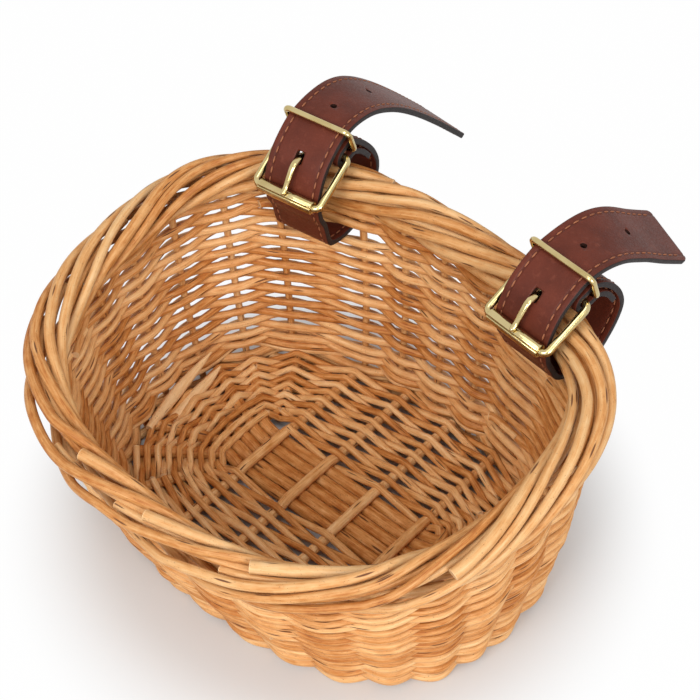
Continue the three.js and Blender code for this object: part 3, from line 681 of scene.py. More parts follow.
# base: long sticks, cross sticks over them, corner sticks and two woven strands
baseLook = dict(
    plane=5.80, edgeHalfLength=84, edgeHalfDepth=62.4, stickRadius=2.15, longRadius=2.72,
    longSticks=5, longPitch=5.5, longFan=14.5, fanStart=47, panelEdge=40, panelLift=1.08,
    crossSticks=4, crossPitch=24, crossHeight=7.0, bendStart=17, panelHalf=12.75,
    cornerTurn=47, cornerStart=(41.6, 13.2), cornerFirst=0.46,
    # the cross sticks' pale tones are painted highlight, standing in for the light on their tops between the
    # strands
    longTone=(0.2, 0.5), crossTone=(0.75, 1), cornerTone=(0.4, 0.8),
    stickSpacing=6, stickWave=0.12, waveRate=1.3, stickUneven=(0.96, 1.04),
    stick=dict(step=1.6, ringSides=12),
    weaverRadius=1.46, amplitude=3.1, freeRise=0.5, rounds=18, rowStart=12.5, rowFan=43.6, grouped=0.42,
    bendShare=0.2, rodSpokes=(15, 24), shortest=6, stout=(0.88, 1.12), uneven=(0.95, 1.05), tone=(0.1, 1.1),
    step=1.5, ringSides=10, seed=31,
)
baseChance = random.Random(baseLook["seed"])


def edgeAt(angle):
    depth, corner = baseLook["edgeHalfDepth"], basketShape["footCorner"]
    return ovalPoint(baseLook["edgeHalfLength"], depth, depth, corner, corner, angle)


def edgeDepthAt(x):
    corner = basketShape["footCorner"]
    return baseLook["edgeHalfDepth"] * (1 - abs(x / baseLook["edgeHalfLength"]) ** corner) ** (1 / corner)


# points between the corners of a line, so that its bends stay where they are
def fillLine(corners, spacing):
    points = [corners[0]]
    for a, b in zip(corners, corners[1:]):
        count = max(1, round((b - a).length / spacing))
        points += [a.lerp(b, i / count) for i in range(1, count + 1)]
    return points


def baseStick(kind, number, corners, radius):
    look = baseLook
    points = fillLine(corners, look["stickSpacing"])
    for i, p in enumerate(points):
        points[i] = p + Vector((0, 0, look["stickWave"] * math.sin(i * look["waveRate"])))
    stout = radius * between(baseChance, *look["stickUneven"])
    rod = dict(points=points, radii=[stout] * len(points), tone=between(baseChance, *look[kind + "Tone"]))
    sweepRods(f"willow_{kind}_stick_{number}", [rod], look["stick"], baseFinish,
              "basket", f"base_{kind}_stick_{number}", "willow_base")


def mirrored(half, sx, sy):
    return half + [Vector((sx * p.x, sy * p.y, p.z)) for p in reversed(half)]


def spreadOut(count, pitch):
    return [(i - (count - 1) / 2) * pitch for i in range(count)]


longYs = spreadOut(baseLook["longSticks"], baseLook["longPitch"])
crossXs = spreadOut(baseLook["crossSticks"], baseLook["crossPitch"])
cornerEnd = edgeAt(math.radians(baseLook["cornerTurn"]))
cornerStart = Vector((*baseLook["cornerStart"], 0))


def longEnd(y):
    return edgeAt(y / baseLook["longPitch"] * math.radians(baseLook["longFan"]))


def addSticks():
    look, plane = baseLook, baseLook["plane"]
    for i, y in enumerate(longYs):
        end = longEnd(y)
        half = [Vector((end.x, end.y, plane)), Vector((look["fanStart"], y, plane)),
                Vector((look["panelEdge"], y, look["longRadius"] * look["panelLift"]))]
        baseStick("long", i + 1, mirrored(half, -1, 1), look["longRadius"])
    for i, x in enumerate(crossXs):
        half = [Vector((x, edgeDepthAt(x), plane)), Vector((x, look["bendStart"], plane)),
                Vector((x, look["panelHalf"], look["crossHeight"]))]
        # the cross sticks take the pale tones that carry painted highlight
        baseStick("cross", i + 1, mirrored(half, 1, -1), look["stickRadius"])
    inner = cornerStart.lerp(cornerEnd, look["cornerFirst"])
    for i, (sx, sy) in enumerate(((1, 1), (1, -1), (-1, -1), (-1, 1))):
        ends = [Vector((sx * p.x, sy * p.y, plane)) for p in (inner, cornerEnd)]
        baseStick("corner", i + 1, ends, look["stickRadius"])


# inner end, outer end and kind of each spoke that the strands pass, clockwise from the back
def spokesRound():
    half = [(Vector((x, baseLook["rowStart"], 0)), Vector((x, edgeDepthAt(x), 0)), "cross") for x in crossXs]
    half.append((cornerStart, cornerEnd, "corner"))
    half += [(Vector((baseLook["rowFan"], y, 0)), longEnd(y), "long") for y in reversed(longYs)]
    toFront = Vector((1, -1, 0))
    half.append((cornerStart * toFront, cornerEnd * toFront, "corner"))
    return half + [(-inner, -outer, kind) for inner, outer, kind in half]


spokes = spokesRound()


# the first rounds pass the long sticks of one end together
def passSide(spoke, share, strand):
    counted = spoke
    if spokes[spoke][2] == "long" and share < baseLook["grouped"]:
        counted = next(i for i, (inner, _, kind) in enumerate(spokes)
                       if kind == "long" and abs(i - spoke) <= 2 and abs(inner.y) < baseLook["longPitch"] / 2)
    return 1 if (counted + strand) % 2 == 0 else -1


def strandCorners(strand):
    look = baseLook
    corners = []
    for k in range(int(len(spokes) * (look["rounds"] - 0.5 - strand) / 2) + 1):
        spoke = k % len(spokes)
        inner, outer, kind = spokes[spoke]
        share = (2 * k / len(spokes) + strand + 0.5) / look["rounds"]
        free = kind == "corner" and share < look["cornerFirst"]
        spot = inner.lerp(outer, share)
        spot.z = passSide(spoke, share, strand) * look["amplitude"] * (look["freeRise"] if free else 1)
        spot.z += look["plane"]
        corners.append(spot)
    return corners


def baseRods(corners, chance):
    look, bend = baseLook, baseLook["bendShare"]
    rods, first, final = [], 0, len(corners) - 1
    while first < final:
        last = min(first + round(between(chance, *look["rodSpokes"])), final)
        if final - last < look["shortest"]:
            last = final
        points = []
        for a, b in zip(corners[first:last], corners[first + 1:last + 1]):
            points += [a, a.lerp(b, bend), b.lerp(a, bend)]
        points.append(corners[last])
        stout = look["weaverRadius"] * between(chance, *look["stout"])
        radii = [stout * between(chance, *look["uneven"]) for _ in points]
        rods.append(dict(points=points, radii=radii, tone=between(chance, *look["tone"])))
        first = last
    return rods


addSticks()
for strand, letter in enumerate("ab"):
    label = "base_weaver_" + letter
    rods = baseRods(strandCorners(strand), baseChance)
    sweepRods("willow_" + label, rods, baseLook, baseFinish, "basket", label, "willow_base")
settleWaiting()
print("stage: base")

# straps and buckles are drawn in an upright plane: outwards and up from the middle of the border
strapLook = dict(
    width=25, turn=7, corner=0.5, tailCut=1.6, holePitch=25, holeDiameter=2.6, tailHoles=2, step=0.9,
    stitchInset=2.7, channelDepth=0.16, channelReach=0.4, channelSpots=(0.9, 0.45, 0, -0.45, -0.9),
    middleSpots=(0.6, 0.25), cornerSteps=4, flapSteps=12, restSteps=14,
    roll=dict(right=18, left=9), rollReach=34,
    flap=dict(
        right=[(16.2, 6.2), (12.2, 11.7), (7.2, 14.9), (3.4, 13.9)],
        left=[(16.9, 4.6), (12.4, 9.9), (7.3, 13.6), (3.4, 13.6)],
    ),
    foldStart=-75, foldEnd=100, foldSteps=24,
    loop=dict(
        right=[(3.2, 20.9), (8.8, 18.8), (14.6, 13.8), (19.2, 7.4), (21.4, 0.6), (19.8, -6.4), (16, -13)],
        left=[(3.2, 20.9), (8.6, 17.6), (14.2, 12.2), (19.6, 5.2), (22.8, -2.4), (22, -9.2), (17, -14.6)],
    ),
    wall=[(12, 1.6), (7.4, 0), (0, -0.2), (-5.6, 1), (-10.2, 4)],  # up from the slot in the wall
    inner=[(-13.4, -9.2), (-16.4, -3)], rollerLeave=-12, buckle=[(-16.2, 10.4), (-12.8, 16.8), (-7, 22.2)],
    tail=dict(
        right=[(10.2, 26.8), (21.8, 24.7), (33.4, 18.9), (46.4, 9.8), (59.6, 1.2)],
        left=[(10.2, 26.8), (22.5, 24.2), (35.5, 17.2), (51, 5), (70, -12.6), (93.5, -36)],
    ),
)
buckleLook = dict(
    wire=1.5, length=23, tilt=27.5, corner=2.4, edgePlay=0.6, pivotGap=0.25,
    roller=(-21.5, 6), rollerRadius=2.6, rollerInset=2.5, rollerEdge=0.18,
    seam=150, seamHalf=5, rollerSteps=40,
    prongWidth=2.9, prongThickness=2, prongSwing=7, exit=(-13.2, 17.9), bend=[(-16.4, 17.4), (-19.6, 13.4)],
    tipTurns=(95, 135), tipSeats=1.5, tipShare=0.05, tipLeast=0.25, narrow=0.30, narrowPower=1.5, thin=0.12,
    prongSteps=12, prongSpacing=0.8, eyeWall=1.3, eyeSteps=28,
)
keeperLook = dict(wire=1.2, at=(3.2, 17.9), height=11.4, lean=111.6, corner=2.2)
stitchLine = strapLook["width"] / 2 - strapLook["stitchInset"]


# the strap map holds the way along the strap and across it, and is negative in the punched holes
leatherLook = dict(
    deep=(0.054, 0.0105, 0.0055), colour=(0.115, 0.0235, 0.0120), light=(0.175, 0.046, 0.026),
    edge=(0.018, 0.013, 0.013), raw=(0.03, 0.012, 0.009),
    cells=1150, pores=(2600, 3), cloud=(85, 4), creases=(320, 5, 0.65), edgeFade=(12.15, 12.4),
    channelFade=(0.3, 0.9), channelShade=0.45, cloudMix=(0.3, 0.7, 0.45, 1), creaseMix=(0.52, 0.8, 0, 0.6),
    rough=(0, 0.7, 0.38, 0.52), edgeRough=0.08, cellRise=-0.5, poreRise=0.35, edgeRise=-0.7, channelRise=-1.2,
    bump=0.35, bumpDepth=0.3, coat=0.02, coatRough=0.28, specular=0.17,
)


def leatherMaterial():
    look = leatherLook
    material, tree, shader = startMaterial("strap_leather_finish")
    strapMap = addNode(tree, "ShaderNodeUVMap", uv_map="strapMap").outputs["UV"]
    along, across, _ = addNode(tree, "ShaderNodeSeparateXYZ", {0: strapMap}).outputs
    across = doMath(tree, "ABSOLUTE", across)
    spot = objectSpot(tree)
    cells = cellsAt(tree, spot, look["cells"])
    pores, cloud, creases = [noiseAt(tree, spot, *look[kind]) for kind in ("pores", "cloud", "creases")]
    fromStitches = doMath(tree, "ABSOLUTE", doMath(tree, "SUBTRACT", across, stitchLine * mm))
    channel = mapRange(tree, fromStitches, *[reach * mm for reach in look["channelFade"]], 1, 0)
    edge = mapRange(tree, across, *[reach * mm for reach in look["edgeFade"]])
    raw = mapRange(tree, along, -0.5, -0.4, 1, 0)
    colour = look["deep"]
    for share, finish in (
        (mapRange(tree, cloud, *look["cloudMix"]), "colour"),
        (mapRange(tree, creases, *look["creaseMix"]), "light"),
        (doMath(tree, "MULTIPLY", channel, look["channelShade"]), "deep"),
        (edge, "edge"),
        (raw, "raw"),
    ):
        colour = mixColour(tree, share, colour, look[finish])
    pitted = doMath(tree, "MULTIPLY", pores, look["poreRise"])
    height = doMath(tree, "MULTIPLY_ADD", cells, look["cellRise"], pitted)
    height = doMath(tree, "ADD", height, creases)
    height = doMath(tree, "MULTIPLY", height, doMath(tree, "MULTIPLY_ADD", edge, look["edgeRise"], 1.0))
    height = doMath(tree, "MULTIPLY_ADD", channel, look["channelRise"], height)
    rough = mapRange(tree, cells, *look["rough"])
    feedAll(tree, shader, {
        "Base Color": colour,
        "Roughness": doMath(tree, "MULTIPLY_ADD", edge, look["edgeRough"], rough),
        "Specular IOR Level": look["specular"],
        "Coat Weight": look["coat"],
        "Coat Roughness": look["coatRough"],
        "Normal": bumpFrom(tree, height, look),
    })
    return material


threadLook = dict(
    colour=(0.20, 0.058, 0.022), light=(0.36, 0.13, 0.052), dark=(0.14, 0.036, 0.017),
    twist=(2400, 2), shade=(260, 2), shadeMix=(0.35, 0.7, 0, 0.5), rough=(0.3, 0.7, 0.6, 0.8),
    bump=0.5, bumpDepth=0.2,
)


def threadMaterial():
    look = threadLook
    material, tree, shader = startMaterial("strap_thread_finish")
    spot = objectSpot(tree)
    twist = noiseAt(tree, spot, *look["twist"])
    shade = mapRange(tree, noiseAt(tree, spot, *look["shade"]), *look["shadeMix"])
    colour = mixColour(tree, twist, look["colour"], look["light"])
    feedAll(tree, shader, {
        "Base Color": mixColour(tree, shade, colour, look["dark"]),
        "Roughness": mapRange(tree, twist, *look["rough"]),
        "Normal": bumpFrom(tree, twist, look),
    })
    return material


brassLook = dict(
    colour=(0.50, 0.385, 0.165), bright=(0.60, 0.485, 0.245), dull=(0.30, 0.205, 0.075),
    cloud=(130, 4), fine=(900, 4, 0.65), cloudMix=(0.35, 0.7), dullMix=(0.6, 0.85, 0, 0.6),
    rough=(0.12, 0.4, 0.10, 0.24), bump=0.08, bumpDepth=0.2,
)


def brassMaterial():
    look = brassLook
    material, tree, shader = startMaterial("buckle_brass_finish")
    spot = objectSpot(tree)
    cloud = noiseAt(tree, spot, *look["cloud"])
    fine = noiseAt(tree, spot, *look["fine"])
    colour = mixColour(tree, mapRange(tree, cloud, *look["cloudMix"]), look["bright"], look["colour"])
    feedAll(tree, shader, {
        "Base Color": mixColour(tree, mapRange(tree, fine, *look["dullMix"]), colour, look["dull"]),
        "Metallic": 1.0,
        "Roughness": mapRange(tree, doMath(tree, "MULTIPLY", cloud, fine), *look["rough"]),
        "Normal": bumpFrom(tree, fine, look),
    })
    return material


leatherFinish = leatherMaterial()
threadFinish = threadMaterial()
brassFinish = brassMaterial()
print("stage: leather and brass finishes")


def flat(x, y):
    return Vector((x, y, 0))


def polar(centre, radius, degrees):
    return centre + flat(math.cos(math.radians(degrees)), math.sin(math.radians(degrees))) * radius


rollerAt = flat(*buckleLook["roller"])
heelAt = polar(rollerAt, buckleLook["length"], buckleLook["tilt"])
prongExit = flat(*buckleLook["exit"])
toHole = (prongExit - heelAt).normalized()
keeperAt = flat(*keeperLook["at"])
keeperReach = keeperLook["height"] - keeperLook["wire"] - seat - leatherHalf
underKeeper = polar(keeperAt, keeperReach, keeperLook["lean"])


def splinePoints(corners, steps):
    count = len(corners)
    points = []
    for i in range((count - 1) * steps + 1):
        at = i / steps
        k = min(int(at), count - 1)
        t = at - k
        p0, p1 = corners[max(k - 1, 0)], corners[k]
        p2, p3 = corners[min(k + 1, count - 1)], corners[min(k + 2, count - 1)]
        v0, v1 = (p2 - p0) * 0.5, (p3 - p1) * 0.5
        cubic, square = p1 * 2 - p2 * 2 + v0 + v1, p2 * 3 - p1 * 3 - v0 * 2 - v1
        points.append(cubic * t ** 3 + square * t ** 2 + v0 * t + p1)
    return points


def evenly(points, spacing):
    lengths = [0.0]
    for a, b in zip(points, points[1:]):
        lengths.append(lengths[-1] + (b - a).length)
    count = max(2, round(lengths[-1] / spacing))
    result, j = [], 0
    for i in range(count + 1):
        want = lengths[-1] * i / count
        while j < len(points) - 2 and lengths[j + 1] < want:
            j += 1
        span = lengths[j + 1] - lengths[j]
        result.append(points[j].lerp(points[j + 1], (want - lengths[j]) / span if span > 0 else 0))
    return result


# middle of the leather from the flap in the fold, round the loop and the border, to the tail
def strapRoute(side):
    look = strapLook
    slot = slotAt(side) - coreAt(strapPlaces[side]).z
    foldRadius = buckleLook["wire"] + seat + leatherHalf
    turn = look["foldEnd"] - look["foldStart"] - 360
    steps = look["foldSteps"]
    fold = [polar(heelAt, foldRadius, look["foldStart"] + turn * i / steps) for i in range(steps + 1)]
    flap = [flat(*p) for p in look["flap"][side]] + [fold[0]]
    rest = [fold[-1]] + [flat(*p) for p in look["loop"][side]]
    rest += [flat(x, y + slot) for x, y in look["wall"]]
    rest += [flat(*p) for p in look["inner"]]
    rest.append(polar(rollerAt, buckleLook["rollerRadius"] + seat + leatherHalf, look["rollerLeave"]))
    rest += [flat(*p) for p in look["buckle"]]
    rest.append(underKeeper)
    rest += [flat(*p) for p in look["tail"][side]]
    start = splinePoints(flap, look["flapSteps"])[:-1] + fold[:-1]
    return evenly(start + splinePoints(rest, look["restSteps"]), look["step"])


def strapFrame(side):
    turn = math.radians(strapLook["turn"]) * (1 if side == "right" else -1)
    outwards = Vector((math.sin(turn), math.cos(turn), 0))
    across = Vector((math.cos(turn), -math.sin(turn), 0))
    return coreAt(strapPlaces[side]), outwards, across


strapFrames = {side: strapFrame(side) for side in strapSides}


def placeIn(side, point, across=0.0):
    middle, outwards, sideways = strapFrames[side]
    return middle + outwards * point.x + Vector((0, 0, point.y)) + sideways * across


# a place along the leather: middle, direction, direction out of its upper face, and its roll there
def routeFrames(side, points):
    start = min(range(len(points)), key=lambda i: (points[i] - underKeeper).length)
    frames, loose = [], 0.0
    for i, p in enumerate(points):
        along = (points[min(i + 1, len(points) - 1)] - points[max(i - 1, 0)]).normalized()
        if i > start:
            loose += (p - points[i - 1]).length
        roll = math.radians(strapLook["roll"][side]) * easeIn(loose, strapLook["rollReach"])
        frames.append((p, along, flat(-along.y, along.x), roll))
    return frames


def onStrap(side, here, lift, across):
    p, _, normal, roll = here
    rise = lift * math.cos(roll) - across * math.sin(roll)
    return placeIn(side, p + normal * rise, lift * math.sin(roll) + across * math.cos(roll))


# outline of the leather's section: rounded edges, and a shallow channel under each row of stitches
def strapSection():
    look = strapLook
    corner, steps = look["corner"], look["cornerSteps"]
    centre = flat(look["width"] / 2 - corner, leatherHalf - corner)
    edge = [polar(centre, corner, 90 * i / steps) for i in range(steps + 1)]
    top = [(p.x, p.y) for p in edge]
    spots = [stitchLine + off for off in look["channelSpots"]]
    for u in spots + [stitchLine * share for share in look["middleSpots"]]:
        dip = look["channelDepth"] * math.exp(-((u - stitchLine) / look["channelReach"]) ** 2)
        top.append((u, leatherHalf - dip))
    upper = top + [(-u, v) for u, v in reversed(top)]
    return upper + [(-u, -v) for u, v in upper]


# a skin over a row of rings, closed on itself or with a face over each end
def skinRings(mesh, rings, closed=False):
    count = len(rings[0])
    for a, b in zip(rings, rings[1:] + (rings[:1] if closed else [])):
        for k in range(count):
            n = (k + 1) % count
            mesh.faces.new([a[k], a[n], b[n], b[k]])
    if not closed:
        mesh.faces.new(rings[0][::-1])
        mesh.faces.new(rings[-1])


def addRings(mesh, outlines, closed=False):
    skinRings(mesh, [[mesh.verts.new(spot * mm) for spot in outline] for outline in outlines], closed)


def meshData(name, mesh, smooth=True):
    bmesh.ops.recalc_face_normals(mesh, faces=mesh.faces)
    for face in mesh.faces:
        face.smooth = smooth
    data = bpy.data.meshes.new(name)
    mesh.to_mesh(data)
    mesh.free()
    return data


def stripMesh(name, side, frames, section):
    mesh = bmesh.new()
    strapMap = mesh.loops.layers.uv.new("strapMap")
    total = sum((b[0] - a[0]).length for a, b in zip(frames, frames[1:]))
    rings, spots, walked = [], {}, 0.0
    for i, here in enumerate(frames):
        if i > 0:
            walked += (here[0] - frames[i - 1][0]).length
        room = strapLook["width"] / 2 - max(0.0, strapLook["tailCut"] - (total - walked))
        rings.append([])
        for u, v in section:
            wide = math.copysign(min(abs(u), room), u)
            rings[-1].append(mesh.verts.new(onStrap(side, here, v, wide) * mm))
            spots[rings[-1][-1]] = (walked * mm, wide * mm)
    skinRings(mesh, rings)
    for face in mesh.faces:
        for loop in face.loops:
            loop[strapMap].uv = spots[loop.vert]
    return meshData(name, mesh)


# punches are closed prisms through the leather
def holeOutlines(side, here, radius, count=18, reach=3):
    middle, along, normal, roll = here
    turns = [tau * k / count for k in range(count)]
    return [[onStrap(side, (middle + along * (radius * math.cos(t)), along, normal, roll), lift,
                     radius * math.sin(t)) for t in turns] for lift in (-reach, reach)]


def ovalRing(side, middle, normal, width, height, count, power):
    ring = []
    for k in range(count):
        aside = signedPower(math.cos(tau * k / count), power) * width / 2
        rise = signedPower(math.sin(tau * k / count), power) * height / 2
        ring.append(placeIn(side, middle + normal * rise, aside))
    return ring


def slotOutlines(side, centre, length, height, width):
    normal = flat(-toHole.y, toHole.x)
    ends = [centre + toHole * end for end in (-length / 2, length / 2)]
    return [ovalRing(side, end, normal, width, height, 24, 0.5) for end in ends]


def strapCutter(side, frames):
    look, buckle = strapLook, buckleLook
    mesh = bmesh.new()
    strapMap = mesh.loops.layers.uv.new("strapMap")
    nearest = min(range(len(frames)), key=lambda i: (frames[i][0] - prongExit).length)
    walked = 0.0
    wanted = [look["holePitch"] * (k + 1) for k in range(look["tailHoles"])]
    for a, b in zip(frames[nearest:], frames[nearest + 1:]):
        walked += (b[0] - a[0]).length
        if wanted and walked >= wanted[0]:
            addRings(mesh, holeOutlines(side, b, look["holeDiameter"] / 2))
            wanted.pop(0)
    swing = (prongExit - heelAt).length * math.sin(math.radians(buckle["prongSwing"]))
    slotWidth = buckle["prongWidth"] + 2 * seat
    slotHeight = buckle["prongThickness"] + 2 * seat + swing
    slotMiddle = prongExit + flat(toHole.y, -toHole.x) * (swing / 2)
    addRings(mesh, slotOutlines(side, slotMiddle, 8 * leatherHalf, slotHeight, slotWidth))
    foldOut = buckle["wire"] + seat + 2 * leatherHalf + seat
    foldIn = buckle["wire"] + buckle["pivotGap"] + buckle["eyeWall"] + 2 * seat
    foldMiddle = heelAt + toHole * ((foldOut - foldIn) / 2)
    addRings(mesh, slotOutlines(side, foldMiddle, foldOut + foldIn, 2 * foldIn, slotWidth))
    for face in mesh.faces:
        for loop in face.loops:
            loop[strapMap].uv = (-1, 0)
    return addObject("strapCutter_" + side, meshData("strapCutter", mesh, smooth=False))


# stitches: one small grain of thread after the other along each line
stitchLook = dict(pitch=4.1, halfLength=1.45, radius=0.36, sink=0.08, clearEnds=6)


def buildStitchTree():
    inputs = {"Lines": "Geometry", "Pitch": "Float", "Size": "Vector", "Finish": "Material"}
    tree, source, target = newTree("GeometryNodeTree", "strapStitches", inputs, {"Stitches": "Geometry"})
    tangent = addNode(tree, "GeometryNodeInputTangent").outputs["Tangent"]
    align = addNode(tree, "FunctionNodeAlignRotationToVector", {"Vector": tangent}, axis="Z")
    grain = addNode(tree, "GeometryNodeMeshUVSphere", {"Segments": 8, "Rings": 6, "Radius": 1.0})
    shade = addNode(tree, "GeometryNodeSetShadeSmooth")
    chain(tree, grain, shade)
    put = {"Instance": shade.outputs[0], "Rotation": align.outputs["Rotation"],
           "Scale": source.outputs["Size"]}
    chain(
        tree, source,
        addNode(tree, "GeometryNodeMeshToCurve"),
        addNode(tree, "GeometryNodeResampleCurve", {"Length": source.outputs["Pitch"]}, mode="LENGTH"),
        addNode(tree, "GeometryNodeInstanceOnPoints", put),
        addNode(tree, "GeometryNodeRealizeInstances"),
        addNode(tree, "GeometryNodeSetMaterial", {"Material": source.outputs["Finish"]}),
        target,
    )
    return tree


stitchTree = buildStitchTree()


def addStitches(side, frames):
    look = stitchLook
    lift = leatherHalf - look["sink"]
    trim = round(look["clearEnds"] / strapLook["step"])
    lines = [[onStrap(side, here, face, across) for here in frames[trim:-trim]]
             for across in (stitchLine, -stitchLine) for face in (lift, -lift)]
    name = "strap_stitches_" + side
    size = (look["radius"] * mm, look["radius"] * mm, look["halfLength"] * mm)
    values = {"Pitch": look["pitch"] * mm, "Size": size, "Finish": threadFinish}
    treePiece(name, lineMesh(name, lines), stitchTree, values, "basket", [], "leather")


def addStrap(side):
    name = "leather_strap_" + side
    frames = routeFrames(side, strapRoute(side))
    strap = addObject(name, stripMesh(name, side, frames, strapSection()))
    strap.data.materials.append(leatherFinish)
    cutter = strapCutter(side, frames)
    punch = strap.modifiers.new("punch", "BOOLEAN")
    punch.operation = "DIFFERENCE"
    punch.solver = "EXACT"
    punch.object = cutter
    bpy.context.view_layer.update()
    makePlain(strap, bpy.context.evaluated_depsgraph_get())
    bpy.data.objects.remove(cutter)
    handOver(strap, "basket", ["strap_" + side])
    addStitches(side, frames)


for side in strapSides:
    addStrap(side)
settleWaiting()
print("stage: straps and stitches")


# wires of the buckle frames and keepers: closed loops with rounded corners
wireLook = dict(cornerSteps=8, spacing=0.55, tone=0.5, step=0.5, ringSides=16)


def addWire(name, side, start, end, look, body, node):
    corner, steps = look["corner"], wireLook["cornerSteps"]
    aside = strapLook["width"] / 2 + buckleLook["edgePlay"] + look["wire"] - corner
    direction = (end - start).normalized()
    near, far = corner, (end - start).length - corner
    outline = []
    for i, (x, y) in enumerate(((far, -aside), (far, aside), (near, aside), (near, -aside))):
        outline += [polar(flat(x, y), corner, 90 * (i - 1 + k / steps)) for k in range(steps + 1)]
    outline.append(outline[0].copy())
    spots = [placeIn(side, start + direction * p.x, p.y) for p in evenly(outline, wireLook["spacing"])[:-1]]
    rod = dict(points=spots, radii=[look["wire"]] * len(spots), tone=wireLook["tone"])
    sweepRods(name, [rod], wireLook, brassFinish, body, node, "brass", closed=True)


def brassPiece(kind, side, mesh):
    data = meshData(f"brass_{kind}_{side}", mesh)
    data.materials.append(brassFinish)
    handOver(addObject(data.name, data), f"{side}_buckle_{kind}", [f"buckle_{kind}_{side}"])


# roller: sheet brass rolled into a tube, with its seam left open a little
def addRoller(side):
    look = buckleLook
    half = strapLook["width"] / 2 + look["edgePlay"] + look["wire"] - look["rollerInset"]
    bore, outer, edge = look["wire"] + look["pivotGap"], look["rollerRadius"], look["rollerEdge"]
    section = [(bore, -half), (outer - edge, -half), (outer, -half + edge),
               (outer, half - edge), (outer - edge, half), (bore, half)]
    first, sweep = look["seam"] + look["seamHalf"], 360 - 2 * look["seamHalf"]
    turns = [first + sweep * i / look["rollerSteps"] for i in range(look["rollerSteps"] + 1)]
    mesh = bmesh.new()
    rings = [[placeIn(side, polar(rollerAt, r, turn), across) for r, across in section] for turn in turns]
    addRings(mesh, rings)
    brassPiece("roller", side, mesh)


# a bar with rounded sides along a line of spots
def sweepOval(mesh, side, spots, widths, heights, closed=False):
    rings = []
    for i, p in enumerate(spots):
        before = spots[i - 1] if closed else spots[max(i - 1, 0)]
        after = spots[(i + 1) % len(spots)] if closed else spots[min(i + 1, len(spots) - 1)]
        along = (after - before).normalized()
        rings.append(ovalRing(side, p, flat(-along.y, along.x), widths[i], heights[i], 14, 0.7))
    addRings(mesh, rings, closed)


# prong: an eye round the heel bar, and a forged bar with its tip bent over the roller
def addProng(side):
    look, steps = buckleLook, buckleLook["eyeSteps"]
    mesh = bmesh.new()
    eyeRadius = look["wire"] + look["pivotGap"] + look["eyeWall"] / 2
    eye = [polar(heelAt, eyeRadius, 360 * i / steps) for i in range(steps)]
    sweepOval(mesh, side, eye, [look["prongWidth"]] * steps, [look["eyeWall"]] * steps, closed=True)
    onRoller = look["rollerRadius"] + look["tipSeats"] * seat + look["prongThickness"] / 2
    tip = [polar(rollerAt, onRoller, turn) for turn in look["tipTurns"]]
    corners = [heelAt + toHole * eyeRadius, prongExit, *[flat(*p) for p in look["bend"]], *tip]
    spots = evenly(splinePoints(corners, look["prongSteps"]), look["prongSpacing"])
    widths, heights = [], []
    for i in range(len(spots)):
        share = i / (len(spots) - 1)
        end = min(1, max(look["tipLeast"], (1 - share) / look["tipShare"])) ** 0.5
        widths.append(look["prongWidth"] * (1 - look["narrow"] * share ** look["narrowPower"]) * end)
        heights.append(look["prongThickness"] * (1 - look["thin"] * share) * end)
    sweepOval(mesh, side, spots, widths, heights)
    brassPiece("prong", side, mesh)


keeperTop = polar(keeperAt, keeperLook["height"], keeperLook["lean"])
for side in strapSides:
    addWire("brass_frame_" + side, side, rollerAt, heelAt, buckleLook,
            f"{side}_buckle_frame", "buckle_frame_" + side)
    addWire("brass_keeper_" + side, side, keeperAt, keeperTop, keeperLook,
            f"{side}_keeper", "strap_keeper_" + side)
    addRoller(side)
    addProng(side)
settleWaiting()
print("stage: buckles and keepers")

# the floor shows white away from the basket and keeps its shadow close to it
studioLook = dict(
    floorHalf=6, floorDrop=0.4, floorColour=(0.62, 0.61, 0.60), floorRough=0.9,
    shadowEnd=(85, 135), floorWhite=0.985, worldLight=0.56, worldWhite=1.0, aim=(0, 0, 0.06),
    lamps=dict(
        softboxTop=dict(spot=(0.12, -0.3, 1.15), size=0.6, power=3.2),
        softboxFront=dict(spot=(0.1, -1.05, 0.85), size=0.5, power=7.4),
        softboxRight=dict(spot=(0.95, -0.45, 0.62), size=0.45, power=7.6),
    ),
)


def rayInView(tree):
    path = addNode(tree, "ShaderNodeLightPath").outputs
    seen = doMath(tree, "MAXIMUM", path["Is Camera Ray"], path["Is Glossy Ray"])
    return doMath(tree, "MAXIMUM", seen, path["Is Transmission Ray"])


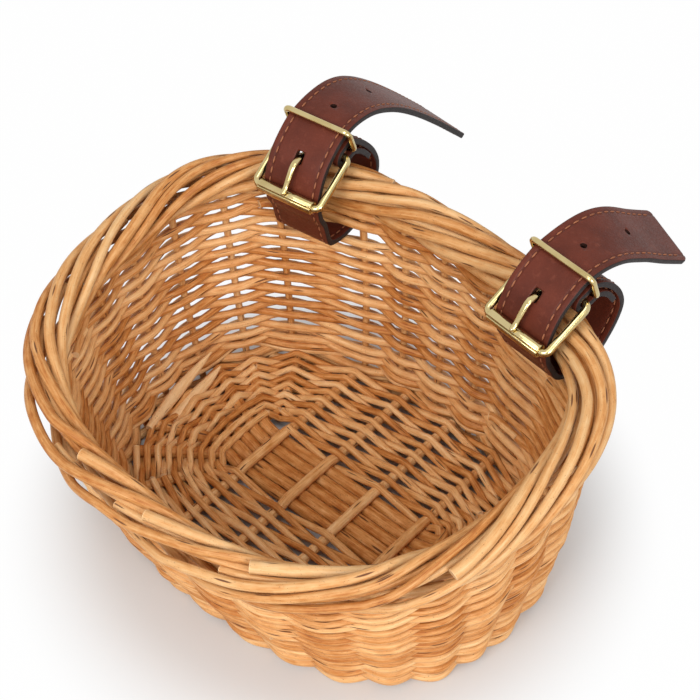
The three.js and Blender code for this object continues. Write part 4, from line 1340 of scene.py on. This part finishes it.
def addFloor():
    look, half, low = studioLook, studioLook["floorHalf"], -studioLook["floorDrop"] * mm
    mesh = bpy.data.meshes.new("floor")
    corners = [(-half, -half, low), (half, -half, low), (half, half, low), (-half, half, low)]
    mesh.from_pydata(corners, [], [(0, 1, 2, 3)])
    material, tree, shader = startMaterial("floor_finish")
    feedAll(tree, shader, {"Base Color": look["floorColour"], "Roughness": look["floorRough"]})
    glow = addNode(tree, "ShaderNodeEmission", {"Strength": 1.0})
    reach = addNode(tree, "ShaderNodeVectorMath", {0: objectSpot(tree)}, operation="LENGTH").outputs["Value"]
    near, far = look["shadowEnd"]
    clear = mapRange(tree, reach, near * mm, far * mm, 0.0, look["floorWhite"])
    share = doMath(tree, "MULTIPLY", rayInView(tree), clear)
    mix = addNode(tree, "ShaderNodeMixShader", {0: share, 1: shader.outputs[0], 2: glow.outputs[0]})
    feedAll(tree, tree.nodes["Material Output"], {"Surface": mix.outputs[0]})
    mesh.materials.append(material)
    addObject("floor", mesh)


def addWorld():
    scene.world = bpy.data.worlds.new("studio")
    scene.world.use_nodes = True
    tree = scene.world.node_tree
    light, white = studioLook["worldLight"], studioLook["worldWhite"]
    strength = mapRange(tree, rayInView(tree), 0, 1, light, white, "LINEAR")
    feedAll(tree, tree.nodes["Background"], {"Color": (1, 1, 1), "Strength": strength})


def addLamp(name, spot, size, power):
    lamp = bpy.data.lights.new(name, "AREA")
    lamp.energy = power
    lamp.size = size
    piece = addObject(name, lamp)
    piece.location = spot
    piece.rotation_euler = (Vector(studioLook["aim"]) - Vector(spot)).to_track_quat("-Z", "Y").to_euler()


# camera fitted to the picture: its focal length and middle are in pixels of a square picture
photoView = dict(azimuth=41.3, elevation=48.7, distance=637, target=(0, 0, 60), focalPixels=1700,
                 centre=(331.4, 407.2), imageSize=700, sensor=36, clipStart=0.01)


def addCamera():
    view, size = photoView, photoView["imageSize"]
    azimuth, elevation = math.radians(view["azimuth"]), math.radians(view["elevation"])
    level = math.cos(elevation)
    back = Vector((math.sin(azimuth) * level, -math.cos(azimuth) * level, math.sin(elevation)))
    lens = bpy.data.cameras.new("photoCamera")
    lens.sensor_width = view["sensor"]
    lens.sensor_fit = "HORIZONTAL"
    lens.lens = view["sensor"] * view["focalPixels"] / size
    lens.shift_x = (size / 2 - view["centre"][0]) / size
    lens.shift_y = (view["centre"][1] - size / 2) / size
    lens.clip_start = view["clipStart"]
    camera = addObject("photoCamera", lens)
    camera.location = (Vector(view["target"]) + back * view["distance"]) * mm
    camera.rotation_euler = back.to_track_quat("Z", "Y").to_euler()
    scene.camera = camera


addFloor()
addWorld()
for name, lamp in studioLook["lamps"].items():
    addLamp(name, **lamp)
addCamera()
scene.view_settings.view_transform = "Standard"
print("stage: studio")
